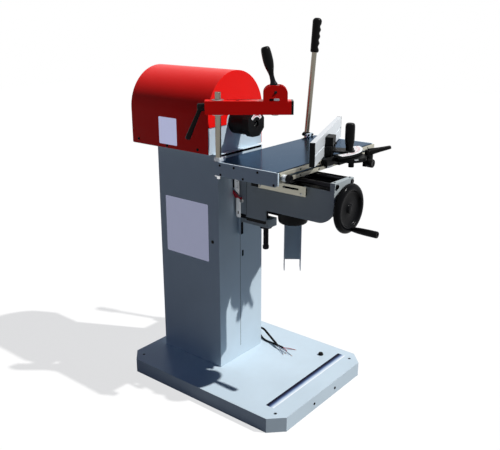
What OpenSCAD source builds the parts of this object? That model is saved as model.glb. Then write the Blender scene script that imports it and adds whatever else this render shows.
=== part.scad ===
// Horizontal slot mortiser: a motor head on a sheet-metal column, in front of it a knee that lifts,
// and on the knee a table that slides both ways and carries a clamp arm, a hand lever and a mitre fence.
// Millimetres. +Z is up, the operator stands on the -Y side, and the origin is on the floor
// under the middle of the base tray.

/* [Base] */
// Width of the base tray, left to right
base_w = 575; // [450:5:700]
// Depth of the base tray, front to back
base_d = 745; // [660:5:900]
// Height of the base tray
base_h = 55; // [30:1:90]
// Chamfer of the base tray's corners
base_chamfer = 50; // [20:1:60]
// Sheet thickness of the base tray
base_sheet = 3; // [2:0.5:5]
// Width of the stiffening channel under the tray
stiffener_w = 80; // [40:1:140]
// Diameter of the floor anchor holes
anchor_d = 12; // [8:1:16]
// Distance of the anchor holes from the tray's sides
anchor_inset = 45; // [40:1:70]

/* [Column] */
// Width of the column
column_w = 250; // [200:5:280]
// Depth of the column
column_d = 300; // [240:5:340]
// Height of the column above the base tray
column_h = 830; // [760:5:900]
// Place of the column's front face behind the middle of the base
column_front = 22; // [0:1:30]
// Wall of the column
column_wall = 4; // [2:0.5:6]
// Width of the head of the vertical rail
rail_w = 52; // [44:1:60]
// Width of the neck of the vertical rail
rail_neck_w = 32; // [24:1:36]
// Depth of the vertical rail in front of the column
rail_depth = 20; // [16:1:26]
// Thickness of the rail's head
rail_head = 10; // [7:1:12]
// Length of the vertical rail
rail_l = 297; // [270:1:310]
// Width of the bracket that holds the lift nut
nut_bracket_w = 50; // [44:1:50]
// Thickness of the bracket that holds the lift nut
nut_bracket_t = 30; // [20:1:32]

/* [Motor head] */
// Height of the spindle above the column's top
spindle_rise = 101; // [95:1:115]
// Width of the motor hood
hood_w = 300; // [280:2:320]
// Length of the motor hood
hood_l = 388; // [375:1:430]
// Height of the hood's straight sides
hood_side = 128; // [115:1:140]
// Sheet thickness of the hood
hood_sheet = 2; // [1:0.5:3]
// Sheet thickness of the motor tray
tray_sheet = 4; // [2:0.5:6]
// Diameter of the motor
motor_d = 170; // [150:2:176]
// Diameter of the motor shaft
shaft_d = 28; // [22:1:32]
// Outer diameter of the chuck guard
guard_d = 96; // [90:1:98]
// Length of the chuck guard
guard_l = 93; // [88:1:110]
// Diameter of the hole in the front of the chuck guard
guard_hole_d = 26; // [20:1:40]
// Diameter of the chuck
chuck_d = 60; // [50:1:70]
// Shank diameter that the jaws hold
shank_d = 16; // [10:1:18]

/* [Knee] */
// Drop of the table's top below the column's top
table_drop = 8; // [4:1:20]
// Width of the knee casting
knee_w = 120; // [110:2:130]
// Length of the knee casting in front of its rear block
knee_l = 365; // [355:1:380]
// Height of the knee casting at the column
knee_h = 154; // [150:1:170]
// Height of the knee casting at its front
knee_front_h = 114; // [108:1:124]
// Rounding under the front of the knee
knee_round = 60; // [30:1:70]
// Wall of the knee casting
knee_wall = 8; // [6:1:10]
// Diameter of the two guide rods
guide_d = 16; // [12:1:18]
// Distance between the two guide rods
guide_gap = 92; // [84:1:96]
// Diameter of the lift screw
screw_d = 20; // [16:1:24]
// Length of the lift screw under its gear
screw_l = 172; // [160:1:200]
// Diameter of the handwheel
wheel_d = 168; // [150:2:168]
// Diameter of the handwheel's rim
wheel_rim_d = 24; // [18:1:28]
// Length of the handwheel's grip
wheel_grip_l = 95; // [70:1:110]
// Diameter of the handwheel's grip
wheel_grip_d = 23; // [18:1:26]

/* [Table] */
// Length of the table, left to right
table_l = 620; // [560:5:660]
// Depth of the table, front to back
table_d = 264; // [250:1:270]
// Thickness of the table's top
table_t = 8; // [6:0.5:10]
// Distance of the table's left end from the spindle
table_left = 178; // [170:1:200]
// Gap between the table and the column at rest
table_gap = 26; // [22:1:40]
// Height of the table's end plates
end_plate_h = 57; // [52:1:57]
// Thickness of the table's end plates
end_plate_t = 6; // [4:0.5:8]
// Thickness of the beam under the table's front edge
beam_t = 16; // [14:1:22]
// Width of the slot in the table's front
slot_w = 8; // [6:0.5:10]
// Height of each of the two slot strips
strip_h = 13; // [11:1:16]
// Thickness of the slot strips
strip_t = 8; // [6:0.5:10]
// Diameter of the two cross rods
cross_d = 14; // [10:1:15]

/* [Clamp] */
// Diameter of the clamp post
post_d = 20; // [16:1:24]
// Height of the clamp post above the table
post_h = 233; // [222:1:270]
// Side of the square clamp arm
arm_side = 45; // [42:1:50]
// Wall of the clamp arm
arm_wall = 3; // [2:0.5:4]
// Reach of the clamp arm in front of the post
arm_reach = 242; // [236:1:280]
// Length of the clamp arm behind the post
arm_tail = 43; // [36:1:50]
// Height of the middle of the arm above the table
arm_rise = 183; // [170:1:190]
// Angle of the clamp arm from the table's length
arm_angle = -51; // [-70:1:-40]
// Distance of the cam from the post
cam_reach = 190; // [170:1:192]
// Length of the cam lever
cam_lever_l = 148; // [120:1:180]

/* [Lever and fence] */
// Length of the hand lever
lever_l = 475; // [380:5:540]
// Diameter of the hand lever
lever_d = 20; // [12:1:22]
// Lean of the hand lever to the right
lever_lean = 7; // [0:0.5:10]
// Length of the hand lever's grip
lever_grip_l = 131; // [100:1:150]
// Length of the mitre fence
fence_l = 550; // [420:5:600]
// Height of the mitre fence
fence_h = 80; // [60:1:100]
// Thickness of the mitre fence
fence_t = 18; // [14:1:24]
// Angle of the mitre fence
fence_angle = 23; // [0:1:30]

/* [Cables] */
// Diameter of the supply cable
supply_d = 9; // [7:0.5:9]
// Diameter of the motor cable
motor_cable_d = 7; // [5:0.5:7]

/* [Hidden] */
$fn = 64;
overrun = 1;
slide_gap = 0.3;
fit_gap = 0.05;

// Share of an inset by which a chamfer shortens
chamfer_share = 2 - sqrt(2);

// Column and rail
column_top = base_h + column_h;
column_x = [-column_w / 2, column_w / 2];
column_y = [column_front, column_front + column_d];
rail_y = column_front - rail_depth;
rail_top_gap = 17;
rail_z = [column_top - rail_top_gap - rail_l, column_top - rail_top_gap];

// Motor head
spindle_z = column_top + spindle_rise;
hood_setback = 20;
hood_lift = 2;
hood_y = [column_front + hood_setback, column_front + hood_setback + hood_l];
hood_bottom = column_top + hood_lift;
hood_spring = hood_bottom + hood_side;
hood_front_drop = 6;
hood_louvres = 6;
louvre_w = 120;
louvre_h = 6;
louvre_pitch = 18;
louvre_rise = 60;
tray_y = [hood_y[0] + hood_sheet, hood_y[1] - hood_sheet];
tray_half = hood_w / 2 - hood_sheet;
tray_flange_h = 26;
tray_upstand_top = hood_spring;
tray_hole_r = 40;
motor_setback = 4;
cover_l = 42;
cover_back_gap = 56;
motor_l = tray_y[1] - tray_y[0] - tray_sheet - motor_setback - cover_l - cover_back_gap;
motor_y = [tray_y[0] + tray_sheet + motor_setback, tray_y[0] + tray_sheet + motor_setback + motor_l];
motor_end = 12;
motor_wall = 38;
motor_bore_r = motor_d / 2 - motor_wall;
motor_air_gap = 2;
foot_w = 45;
foot_out = 78;
foot_l = 60;
terminal_w = 70;
terminal_l = 90;
terminal_h = 38;
bearing_r = 26;
core_end_gap = 16;
fan_gap = 4;
fan_t = 18;
fan_r = 62;
fan_hub_r = 22;
fan_blade_t = 3;
fan_blades = 8;
shaft_tail = 24;
cover_t = 2;
cover_inset = 4;
cover_r = motor_d / 2 - cover_inset;
cover_vents = 12;
cover_vent_r = 5;
cover_vent_pcd_r = 48;
guard_y = [tray_y[0] - guard_l, tray_y[0]];
guard_wall = 5;
guard_nose = 28;
guard_nose_step = 5;
chuck_recess = 11;
chuck_l = 62;
chuck_y = [guard_y[0] + chuck_recess, guard_y[0] + chuck_recess + chuck_l];
chuck_seat = 24;
jaw_nose = 3;
jaw_depth = 28;
jaw_h = 20;
jaw_gap = 3;
jaw_reach = 27;
shaft_y = [chuck_y[1] - chuck_seat, motor_y[1] + shaft_tail];

// Table levels, from the top down
table_z = column_top - table_drop;
table_x = [-table_left, table_l - table_left];
table_y = [column_front - table_gap - table_d, column_front - table_gap];
top_x = [table_x[0] + end_plate_t, table_x[1] - end_plate_t];
table_under = table_z - table_t;
end_plate_z = table_z - end_plate_h;
cross_drop = 10;
cross_z = table_under - cross_drop;
cross_wall = 2;
carriage_foot = 5;
carriage_top = cross_z + cross_d / 2 + cross_wall;
saddle_top = cross_z - cross_d / 2 - carriage_foot;
slot_drop = 20;
slot_z = table_z - slot_drop;
beam_z = slot_z - slot_w / 2 - strip_h;
beam_gap = 3;
guide_wall = 4;
guide_z = beam_z - beam_gap - guide_d / 2;
saddle_bottom = guide_z + guide_d / 2 + guide_wall;
knee_top_gap = 7;
knee_top = guide_z - guide_d / 2 - knee_top_gap;

// Knee
knee_rear = rail_y - slide_gap;
knee_neck = 52;
knee_y = [knee_rear - knee_neck - knee_l, knee_rear - knee_neck];
knee_step = 87;
knee_bottom = knee_top - knee_h;
knee_belly = knee_top - knee_front_h;
gib_t = 12;
gib_lip = 5;
gib_x = [rail_w / 2 + slide_gap, rail_w / 2 + slide_gap + gib_t];
lug_t = 18;
lug_h = guide_z + guide_d / 2 + guide_wall;
lug_x = guide_gap / 2 + guide_d / 2 + guide_wall;
knee_drop = 55;
drop_gap = 4;
nut_gap = 8;
nut_bracket_z = [knee_bottom - nut_gap - nut_bracket_t, knee_bottom - nut_gap];
nut_bracket_nose = 30;
nut_r = 16;
nut_flange_r = 22;
nut_flange_t = 8;
screw_reach = 117;
screw_y = column_front - screw_reach;
journal_d = 16;
web_t = 10;
screw_web_z = nut_bracket_z[1] + knee_drop + drop_gap;
bush_wall = 4;
gear_r = 22;
gear_face = 8.5;
gear_hub = 6;
gear_gap = 0.3;
gear_teeth = 20;
gear_notch_w = 2;
gear_notch_d = 2.5;
gear_hub_r = 13;
wheel_z = screw_web_z + web_t + gear_hub + gear_r + 2 * gear_gap;
wheel_shaft_d = 18;
shaft_web_gap = 12;
shaft_web_y = screw_y - gear_r - gear_hub - 2 * gear_gap - shaft_web_gap;
shaft_web_drop = 20;
wheel_gap = 8;
wheel_back = knee_y[0] - wheel_gap;
wheel_y = wheel_back - wheel_rim_d / 2;
wheel_hub_r = 20;
wheel_web_t = 7;
wheel_shaft_recess = 6;
wheel_hub_back = 10;
wheel_hub_front = 12;
wheel_web_back = 6;
grip_angle = -86;
grip_inset = 2;
grip_orbit = wheel_d / 2 - wheel_rim_d / 2 - grip_inset;
grip_pin_d = 10;
grip_pin_l = 75;
grip_gap = 0.5;
collar_reach = 236;
collar_y = column_front - collar_reach;
collar_h = 42;
collar_r = [54, 50];
collar_web_half = 60;
channel_w = 60;
channel_h = 172;
channel_t = 3;
channel_flange = 53;
channel_web_short = 24;
channel_turn = 37;

// Saddle and depth stop
saddle_back_gap = 14;
saddle_l = 164;
saddle_y = [knee_y[1] - lug_t - saddle_back_gap - saddle_l, knee_y[1] - lug_t - saddle_back_gap];
block_l = 50;
block_half = guide_d / 2 + guide_wall;
carriage_l = 34;
carriage_half = 15;
carriage_x = 45;
cross_inset = 22;
strip_gap = 18;
depth_t = 4;
depth_h = 33;
depth_rise = 4;
depth_reach = 340;
depth_l = 194;
depth_x = [-knee_w / 2 - strip_gap - depth_t, -knee_w / 2 - strip_gap];
depth_y = [column_front - depth_reach, column_front - depth_reach + depth_l];
depth_z = [knee_top + depth_rise - depth_h, knee_top + depth_rise];
depth_slot_w = 7;
depth_slot_drop = 12;
depth_slot_inset = 30;
depth_slot_l = 58;
spacer_l = [16, 44];
spacer_in = 8;
spacer_out = 36;
spacer_h = 24;

// Table parts
cavity_h = 16;
cavity_d = 6;
post_inset = 13;
post_x = table_x[0] + post_inset;
post_y = table_y[1] - post_inset;
strip_front = table_y[0] - strip_t;
bracket_w = 40;
bracket_inset = 37;
bracket_x = table_x[1] - bracket_inset;
bracket_drop = 38;
bracket_rise = 12;
bracket_t = 8;
pivot_drop = 22;
pivot_d = 12;
lever_hub_r = 14;
lever_hub_l = 22;
pivot_z = table_z - pivot_drop;
lever_y = [table_y[1] + bracket_t + slide_gap, table_y[1] + bracket_t + slide_gap + lever_hub_l];
lever_mid_y = (lever_y[0] + lever_y[1]) / 2;
lever_grip_d = 37;
grip_end = 6;
pivot_cap_r = 10;
pivot_cap_t = 4;

// Clamp arm
arm_z = table_z + arm_rise;
bush_t = 6;
bush_r = post_d / 2 + bush_t;
bush_flange_w = 4;
bush_flange_r = bush_r + bush_flange_w;
bush_flange_t = 3;
arm_plug = 10;
cap_t = 8;
ear_w = 80;
ear_h = 50;
ear_t = 4;
ear_round = 26;
cam_rise = 28;
cam_r = 21;
cam_offset = 5;
cam_half = 13;
cam_pin_d = 10;
cam_stem_d = 12;
cam_lean = -14;
cam_grip_l = 85;
cam_grip_r = [12, 17];
plunger_d = 16;
pad_r = 12;
pad_t = 4;
plunger_drop = pad_t + slide_gap;
lock_stud_d = 12;
lock_tip_gap = 1;
lock_hub_r = 13;
lock_hub_l = 26;
lock_handle_l = 118;
lock_handle_lean = 24;
lock_handle_r = [7, 9];

// Mitre gauge and fence
gauge_inset = 363;
gauge_reach = 50;
gauge_x = table_x[0] + gauge_inset;
gauge_y = table_y[0] - gauge_reach;
gauge_left = 90;
gauge_right = 60;
gauge_body_d = 26;
gauge_rise = 2;
gauge_top = table_z + gauge_rise;
gauge_foot = 9;
gauge_plate_t = 14;
gauge_r = 62;
gauge_neck_half = 36;
gauge_pin_d = 16;
gauge_pin_h = 26;
boss_r = 30;
scale_rise = 13;
scale_t = 8;
scale_r = [118, 162];
scale_span = [-118, -36];
scale_x = -15;
scale_y = 123;
scale_top = gauge_top + scale_rise;
head_t = 6;
head_r = 20;
head_half = 32;
head_block_d = 28;
head_block_h = 53;
fence_off = 81;
fence_back = 215;
fence_lift = 3;
fence_z = table_z + fence_lift;
fence_groove_w = 4;
fence_groove_d = 3;
fence_groove_drop = 45;
fence_cap_t = 5;
gauge_grip_d = 34;
gauge_grip_h = 95;
lock_x = 52;
lock_y = -46;
lobe_r = 18;
lock_pin_d = 10;
lock_lever_r = 12;
lock_lever_h = 18;
lock_lever_l = 85;
lock_lever_turn = -40;
lock_lever_tilt = 10;
lock_taper_r = [9, 5];
knob_x = 21;
knob_y = -63;
knob_drop = 7;
knob_block_half = 10;
knob_block_d = 14;
knob_foot = 20;
knob_r = 15;
knob_l = 22;
knob_stud_d = 8;
knob_stud_l = 14;
pivot_nut_r = 10;
pivot_nut_h = 18;
pivot_nut_x = -29;
pivot_nut_y = -27;
tab_inset = 8;
tab_w = 12;
tab_h = 15;
tab_t = 4;
stop_inset = 28;
stop_x = table_x[0] + stop_inset;
stop_shank_r = 8;
stop_shank_l = 14;
stop_knob_r = 13;
stop_knob_l = 18;
stop_neck_half = 12;

// Cables: glands on the column's right side and the route of each cable
guide_out = 4;
gland_bore_r = 7;
gland_r = 11;
gland_flange_r = 14;
gland_flange_t = 6;
supply_route = [
    [147, 90, 92], [155, 90, 92], [166, 88, 91], [175, 82, 90], [182, 72, 88], [185, 60, 86], [183, 48, 84],
    [178, 37, 82], [173, 26, 80], [168, 15, 78], [163, 4, 76], [158, -7, 74], [153, -18, 72], [148, -29, 70],
    [143, -40, 68], [138, -49, 66.5], [133, -58, 65]
];
motor_route = [
    [147, 118, 75], [154, 118, 75], [164, 116, 75], [172, 110, 74], [177, 101, 72], [178, 91, 70], [176, 80, 68],
    [172, 69, 66], [167, 58, 64], [162, 48, 62], [157, 38, 60.5], [153, 27, 59.5], [150, 15, 59], [149, 3, 59],
    [149, -9, 59], [149, -21, 59], [149, -33, 59], [148, -45, 59], [147, -56, 59], [146, -66, 59], [145, -76, 59]
];
cable_sides = 8;

// Shape helpers
module span_box(x, y, z) {
    translate([x[0], y[0], z[0]]) cube([x[1] - x[0], y[1] - y[0], z[1] - z[0]]);
}

module rod_x(x, y, z, r) {
    translate([x[0], y, z]) rotate([0, 90, 0]) cylinder(h = x[1] - x[0], r = r);
}

module rod_y(x, y, z, r) {
    translate([x, y[0], z]) rotate([-90, 0, 0]) cylinder(h = y[1] - y[0], r = r);
}

module rod_z(x, y, z, r) {
    translate([x, y, z[0]]) cylinder(h = z[1] - z[0], r = r);
}

// Extrudes a shape drawn in (x, z) along Y
module along_y(y) {
    translate([0, y[1], 0]) rotate([90, 0, 0]) linear_extrude(y[1] - y[0]) children();
}

// Extrudes a shape drawn in (y, z) along X
module along_x(x) {
    translate([x[0], 0, 0]) rotate([90, 0, 90]) linear_extrude(x[1] - x[0]) children();
}

module at_arm() {
    translate([post_x, post_y, arm_z]) rotate([0, 0, arm_angle]) children();
}

module at_gauge() {
    translate([gauge_x, gauge_y, 0]) children();
}

module at_fence() {
    at_gauge() rotate([0, 0, fence_angle]) children();
}

// Sweeps a round section along the points of a route
function unit(v) = v / norm(v);
function heading(p, i) = unit(p[min(i + 1, len(p) - 1)] - p[max(i - 1, 0)]);
function side_of(d) = unit(cross(d, [0, 0, 1]));
function ring(p, i, r) = let (d = heading(p, i), a = side_of(d), b = cross(a, d))
    [for (k = [0:cable_sides - 1]) p[i] + r * (cos(360 * k / cable_sides) * a + sin(360 * k / cable_sides) * b)];

module cable(p, r) {
    n = cable_sides;
    last = len(p) - 1;
    points = [for (i = [0:last]) each ring(p, i, r)];
    sides = [for (i = [0:last - 1], k = [0:n - 1]) each [
        [i * n + k, i * n + (k + 1) % n, (i + 1) * n + k],
        [i * n + (k + 1) % n, (i + 1) * n + (k + 1) % n, (i + 1) * n + k]
    ]];
    first_cap = [for (k = [1:n - 2]) [0, k + 1, k]];
    last_cap = [for (k = [1:n - 2]) [last * n, last * n + k, last * n + k + 1]];
    polyhedron(points = points, faces = concat(sides, first_cap, last_cap));
}

// Stand
module tray_outline(inset) {
    w = base_w / 2 - inset;
    d = base_d / 2 - inset;
    c = base_chamfer - inset * chamfer_share;
    polygon([[w - c, -d], [w, c - d], [w, d - c], [w - c, d], [c - w, d], [-w, d - c], [-w, c - d], [c - w, -d]]);
}

module base_tray() {
    color("#d3dbe0")
    difference() {
        linear_extrude(base_h) tray_outline(0);
        translate([0, 0, -overrun]) linear_extrude(base_h - base_sheet + overrun) tray_outline(base_sheet);
        for (sx = [-1, 1], sy = [-1, 1])
            rod_z(sx * (base_w / 2 - anchor_inset), sy * (base_d / 2 - anchor_inset),
                [base_h - base_sheet - overrun, base_h + overrun], anchor_d / 2);
    }
}

module base_stiffener() {
    half = stiffener_w / 2;
    depth = base_d / 2 - base_sheet;
    color("#b9c2c8")
    difference() {
        span_box([-half, half], [-depth, depth], [0, base_h - base_sheet]);
        span_box([base_sheet - half, half - base_sheet], [-depth - overrun, depth + overrun], [base_sheet, base_h]);
    }
}

module column() {
    color("#c9d3d9")
    difference() {
        span_box(column_x, column_y, [base_h, column_top]);
        span_box([column_x[0] + column_wall, column_x[1] - column_wall],
            [column_y[0] + column_wall, column_y[1] - column_wall],
            [base_h - overrun, column_top - column_wall]);
        for (p = [supply_route[0], motor_route[0]])
            rod_x([column_x[1] - column_wall - overrun, column_x[1] + overrun], p[1], p[2], gland_bore_r);
    }
}

module column_rail() {
    color("#9aa3a9") {
        span_box([-rail_neck_w / 2, rail_neck_w / 2], [rail_y + rail_head, column_front], rail_z);
        span_box([-rail_w / 2, rail_w / 2], [rail_y, rail_y + rail_head], rail_z);
    }
}

module nut_bracket() {
    half = nut_bracket_w / 2;
    color("#98a3aa")
    difference() {
        span_box([-half, half], [screw_y - nut_bracket_nose, rail_y], nut_bracket_z);
        rod_z(0, screw_y, [nut_bracket_z[0] - overrun, nut_bracket_z[1] + overrun], nut_r + fit_gap);
    }
}

module lift_nut() {
    color("#b08d3c")
    difference() {
        union() {
            rod_z(0, screw_y, nut_bracket_z, nut_r);
            rod_z(0, screw_y, [nut_bracket_z[0] - nut_flange_t, nut_bracket_z[0]], nut_flange_r);
        }
        rod_z(0, screw_y, [nut_bracket_z[0] - nut_flange_t - overrun, nut_bracket_z[1] + overrun],
            screw_d / 2 + fit_gap);
    }
}

module cable_glands() {
    color("#1b1c1e")
    for (p = [supply_route[0], motor_route[0]]) {
        rod_x([column_x[1], column_x[1] + gland_flange_t], p[1], p[2], gland_flange_r);
        rod_x([column_x[1] + gland_flange_t, p[0]], p[1], p[2], gland_r);
    }
}

module supply_cable() {
    color("#151617") cable(supply_route, supply_d / 2);
}

module motor_cable() {
    color("#17181b") cable(motor_route, motor_cable_d / 2);
}

// Motor head
module motor_tray() {
    color("#c9d3d9")
    difference() {
        union() {
            span_box([-tray_half, tray_half], tray_y, [column_top, column_top + tray_sheet]);
            span_box([-tray_half, tray_half], [tray_y[0], tray_y[0] + tray_sheet], [column_top, tray_upstand_top]);
            for (s = [-1, 1])
                translate([s * (tray_half - tray_sheet / 2), 0, 0])
                    span_box([-tray_sheet / 2, tray_sheet / 2], tray_y, [column_top, column_top + tray_flange_h]);
        }
        rod_y(0, [tray_y[0] - overrun, tray_y[0] + tray_sheet + overrun], spindle_z, tray_hole_r);
    }
}

module motor_housing() {
    r = motor_d / 2;
    color("#8a949b")
    difference() {
        union() {
            rod_y(0, motor_y, spindle_z, r);
            for (s = [-1, 1], y = [motor_y[0], motor_y[1] - foot_l])
                translate([s * (foot_out - foot_w / 2), 0, 0])
                    span_box([-foot_w / 2, foot_w / 2], [y, y + foot_l], [column_top + tray_sheet, spindle_z - r / 2]);
            translate([0, (motor_y[0] + motor_y[1]) / 2, spindle_z + motor_bore_r])
                span_box([-terminal_w / 2, terminal_w / 2], [-terminal_l / 2, terminal_l / 2],
                    [0, motor_wall + terminal_h]);
        }
        rod_y(0, [motor_y[0] + motor_end, motor_y[1] - motor_end], spindle_z, motor_bore_r);
        rod_y(0, [motor_y[0] - overrun, motor_y[1] + overrun], spindle_z, bearing_r + fit_gap);
    }
}

module fan_cover() {
    color("#8a949b")
    difference() {
        rod_y(0, [motor_y[1], motor_y[1] + cover_l], spindle_z, cover_r);
        rod_y(0, [motor_y[1] - overrun, motor_y[1] + cover_l - cover_t], spindle_z, cover_r - cover_t);
        for (k = [0:cover_vents - 1])
            rod_y(cover_vent_pcd_r * cos(360 * k / cover_vents),
                [motor_y[1] + cover_l - cover_t - overrun, motor_y[1] + cover_l + overrun],
                spindle_z + cover_vent_pcd_r * sin(360 * k / cover_vents), cover_vent_r);
    }
}

module spindle_bearings() {
    color("#b8bcc0")
    for (y = [motor_y[0], motor_y[1] - motor_end])
        difference() {
            rod_y(0, [y, y + motor_end], spindle_z, bearing_r);
            rod_y(0, [y - overrun, y + motor_end + overrun], spindle_z, shaft_d / 2 + fit_gap);
        }
}

module hood_outline(inset, bottom) {
    half = hood_w / 2 - inset;
    translate([-half, bottom]) square([2 * half, hood_spring - bottom]);
    intersection() {
        translate([0, hood_spring]) circle(half);
        translate([-half, hood_spring - overrun]) square([2 * half, half + overrun]);
    }
}

module hood() {
    color("#e0201b")
    difference() {
        along_y(hood_y) hood_outline(0, hood_bottom);
        along_y([hood_y[0] + hood_sheet, hood_y[1] - hood_sheet]) hood_outline(hood_sheet, hood_bottom - overrun);
        span_box([-hood_w, hood_w], [hood_y[0] - overrun, hood_y[0] + hood_sheet],
            [hood_bottom - overrun, spindle_z - hood_front_drop]);
        rod_y(0, [hood_y[0] - overrun, hood_y[0] + hood_sheet + overrun], spindle_z, guard_d / 2 + guard_nose_step);
        for (k = [0:hood_louvres - 1])
            span_box([-louvre_w / 2, louvre_w / 2], [hood_y[1] - hood_sheet - overrun, hood_y[1] + overrun],
                [hood_bottom + louvre_rise + k * louvre_pitch, hood_bottom + louvre_rise + k * louvre_pitch + louvre_h]);
    }
}

module chuck_guard() {
    r = guard_d / 2;
    color("#232527")
    difference() {
        union() {
            rod_y(0, [guard_y[0] + guard_nose, guard_y[1]], spindle_z, r - guard_nose_step);
            translate([0, guard_y[0], spindle_z]) rotate([-90, 360 / 16, 0]) cylinder(h = guard_nose, r = r, $fn = 8);
        }
        rod_y(0, [guard_y[0] + guard_wall, guard_y[1] + overrun], spindle_z, r - guard_wall - guard_nose_step);
        rod_y(0, [guard_y[0] - overrun, guard_y[1]], spindle_z, guard_hole_d / 2);
    }
}

module motor_shaft() {
    color("#a7acb0") {
        rod_y(0, shaft_y, spindle_z, shaft_d / 2);
        rod_y(0, [motor_y[0] + motor_end + core_end_gap, motor_y[1] - motor_end - core_end_gap], spindle_z,
            motor_bore_r - motor_air_gap);
    }
}

module cooling_fan() {
    y = motor_y[1] + fan_gap;
    color("#2b2e31")
    difference() {
        union() {
            rod_y(0, [y, y + fan_t], spindle_z, fan_hub_r);
            rod_y(0, [y, y + fan_blade_t], spindle_z, fan_r);
            for (k = [0:fan_blades - 1])
                translate([0, y, spindle_z]) rotate([0, 360 * (k + 1 / 2) / fan_blades, 0])
                    span_box([fan_hub_r - fan_blade_t, fan_r - fan_blade_t], [fan_blade_t / 2, fan_t - fan_blade_t],
                        [-fan_blade_t / 2, fan_blade_t / 2]);
        }
        rod_y(0, [y - overrun, y + fan_t + overrun], spindle_z, shaft_d / 2 + fit_gap);
    }
}

module chuck_body() {
    color("#8d9195")
    difference() {
        rod_y(0, chuck_y, spindle_z, chuck_d / 2);
        rod_y(0, [shaft_y[0], chuck_y[1] + overrun], spindle_z, shaft_d / 2 + fit_gap);
        span_box([-chuck_d, chuck_d], [chuck_y[0] - overrun, chuck_y[0] + jaw_depth],
            [spindle_z - jaw_h / 2, spindle_z + jaw_h / 2]);
    }
}

module chuck_jaws() {
    color("#6f7478")
    for (s = [-1, 1])
        difference() {
            translate([s * (jaw_gap + jaw_reach) / 2, 0, 0])
                span_box([-(jaw_reach - jaw_gap) / 2, (jaw_reach - jaw_gap) / 2],
                    [chuck_y[0] - jaw_nose, chuck_y[0] + jaw_depth],
                    [spindle_z - jaw_h / 2 + fit_gap, spindle_z + jaw_h / 2 - fit_gap]);
            rod_y(0, [chuck_y[0] - jaw_nose - overrun, chuck_y[0] + jaw_depth + overrun], spindle_z, shank_d / 2);
        }
}

// Knee
module knee_profile() {
    difference() {
        union() {
            translate([knee_y[0], knee_belly]) square([knee_l, knee_front_h]);
            translate([knee_y[1] - knee_step, knee_bottom]) square([knee_step, knee_h]);
        }
        translate([knee_y[0] - overrun, knee_belly - overrun]) square(knee_round + overrun);
    }
    intersection() {
        translate([knee_y[0] + knee_round, knee_belly + knee_round]) circle(knee_round);
        translate([knee_y[0], knee_belly]) square(knee_round + overrun);
    }
}

module knee_casting() {
    inner = knee_w / 2 - knee_wall;
    notch = nut_bracket_w / 2 + drop_gap;
    color("#98a3aa")
    difference() {
        union() {
            difference() {
                union() {
                    along_x([-knee_w / 2, knee_w / 2]) knee_profile();
                    span_box([-gib_x[1], gib_x[1]], [knee_y[1], knee_rear], [knee_bottom, knee_top]);
                    for (y = [knee_y[0], knee_y[1] - lug_t])
                        span_box([-lug_x, lug_x], [y, y + lug_t], [knee_top, lug_h]);
                }
                span_box([-inner, inner], [knee_y[0] + web_t, knee_y[1] - knee_wall],
                    [knee_bottom - overrun, knee_top - knee_wall]);
                span_box([-notch, notch], [knee_y[1] - knee_wall - overrun, knee_rear + overrun],
                    [knee_bottom - overrun, screw_web_z]);
            }
            span_box([-inner, inner], [knee_y[1] - knee_step, knee_y[1] - knee_wall],
                [screw_web_z, screw_web_z + web_t]);
            span_box([-inner, inner], [shaft_web_y - web_t, shaft_web_y],
                [wheel_z - shaft_web_drop, knee_top - knee_wall]);
            span_box([-inner, inner], [collar_y - collar_web_half, collar_y + collar_web_half],
                [knee_belly, knee_belly + web_t]);
        }
        for (s = [-1, 1])
            rod_y(s * guide_gap / 2, [knee_y[0] - overrun, knee_y[1] + overrun], guide_z, guide_d / 2 + fit_gap);
        rod_y(0, [knee_y[0] - overrun, knee_y[0] + web_t + overrun], wheel_z,
            wheel_shaft_d / 2 + bush_wall + fit_gap);
        rod_y(0, [shaft_web_y - web_t - overrun, shaft_web_y + overrun], wheel_z,
            wheel_shaft_d / 2 + bush_wall + fit_gap);
        rod_z(0, screw_y, [screw_web_z - overrun, screw_web_z + web_t + overrun], journal_d / 2 + bush_wall + fit_gap);
    }
}

module knee_gibs() {
    lip_y = rail_y + rail_head + slide_gap;
    color("#b9bec2")
    for (s = [0, 1])
        mirror([s, 0, 0]) {
            span_box(gib_x, [knee_rear, lip_y + gib_lip], [knee_bottom, knee_top]);
            span_box([rail_neck_w / 2 + slide_gap, gib_x[0]], [lip_y, lip_y + gib_lip], [knee_bottom, knee_top]);
        }
}

module guide_rods() {
    color("#3a3d40")
    for (s = [-1, 1])
        rod_y(s * guide_gap / 2, [knee_y[0] - guide_out, knee_y[1]], guide_z, guide_d / 2);
}

module knee_collar() {
    color("#1d1e20")
    translate([0, collar_y, knee_belly - collar_h]) cylinder(h = collar_h, r1 = collar_r[1], r2 = collar_r[0]);
}

module switch_bracket() {
    top = knee_belly - collar_h;
    half = channel_w / 2;
    inside = half - channel_t;
    color("#a9b4bb")
    translate([0, collar_y, top]) rotate([0, 0, channel_turn]) difference() {
        span_box([-channel_flange / 2, channel_flange / 2], [-half, half], [-channel_h, 0]);
        span_box([-channel_flange, channel_flange / 2 - channel_t], [-inside, inside],
            [-channel_h - overrun, -channel_t]);
        span_box([-channel_flange, channel_flange], [-inside, inside],
            [-channel_h - overrun, channel_web_short - channel_h]);
    }
}

module bush_y(y) {
    difference() {
        rod_y(0, y, wheel_z, wheel_shaft_d / 2 + bush_wall);
        rod_y(0, [y[0] - overrun, y[1] + overrun], wheel_z, wheel_shaft_d / 2 + fit_gap);
    }
}

module knee_bushes() {
    color("#a8823c") {
        bush_y([knee_y[0], knee_y[0] + web_t]);
        bush_y([shaft_web_y - web_t, shaft_web_y]);
        difference() {
            rod_z(0, screw_y, [screw_web_z, screw_web_z + web_t], journal_d / 2 + bush_wall);
            rod_z(0, screw_y, [screw_web_z - overrun, screw_web_z + web_t + overrun], journal_d / 2 + fit_gap);
        }
    }
}

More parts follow.
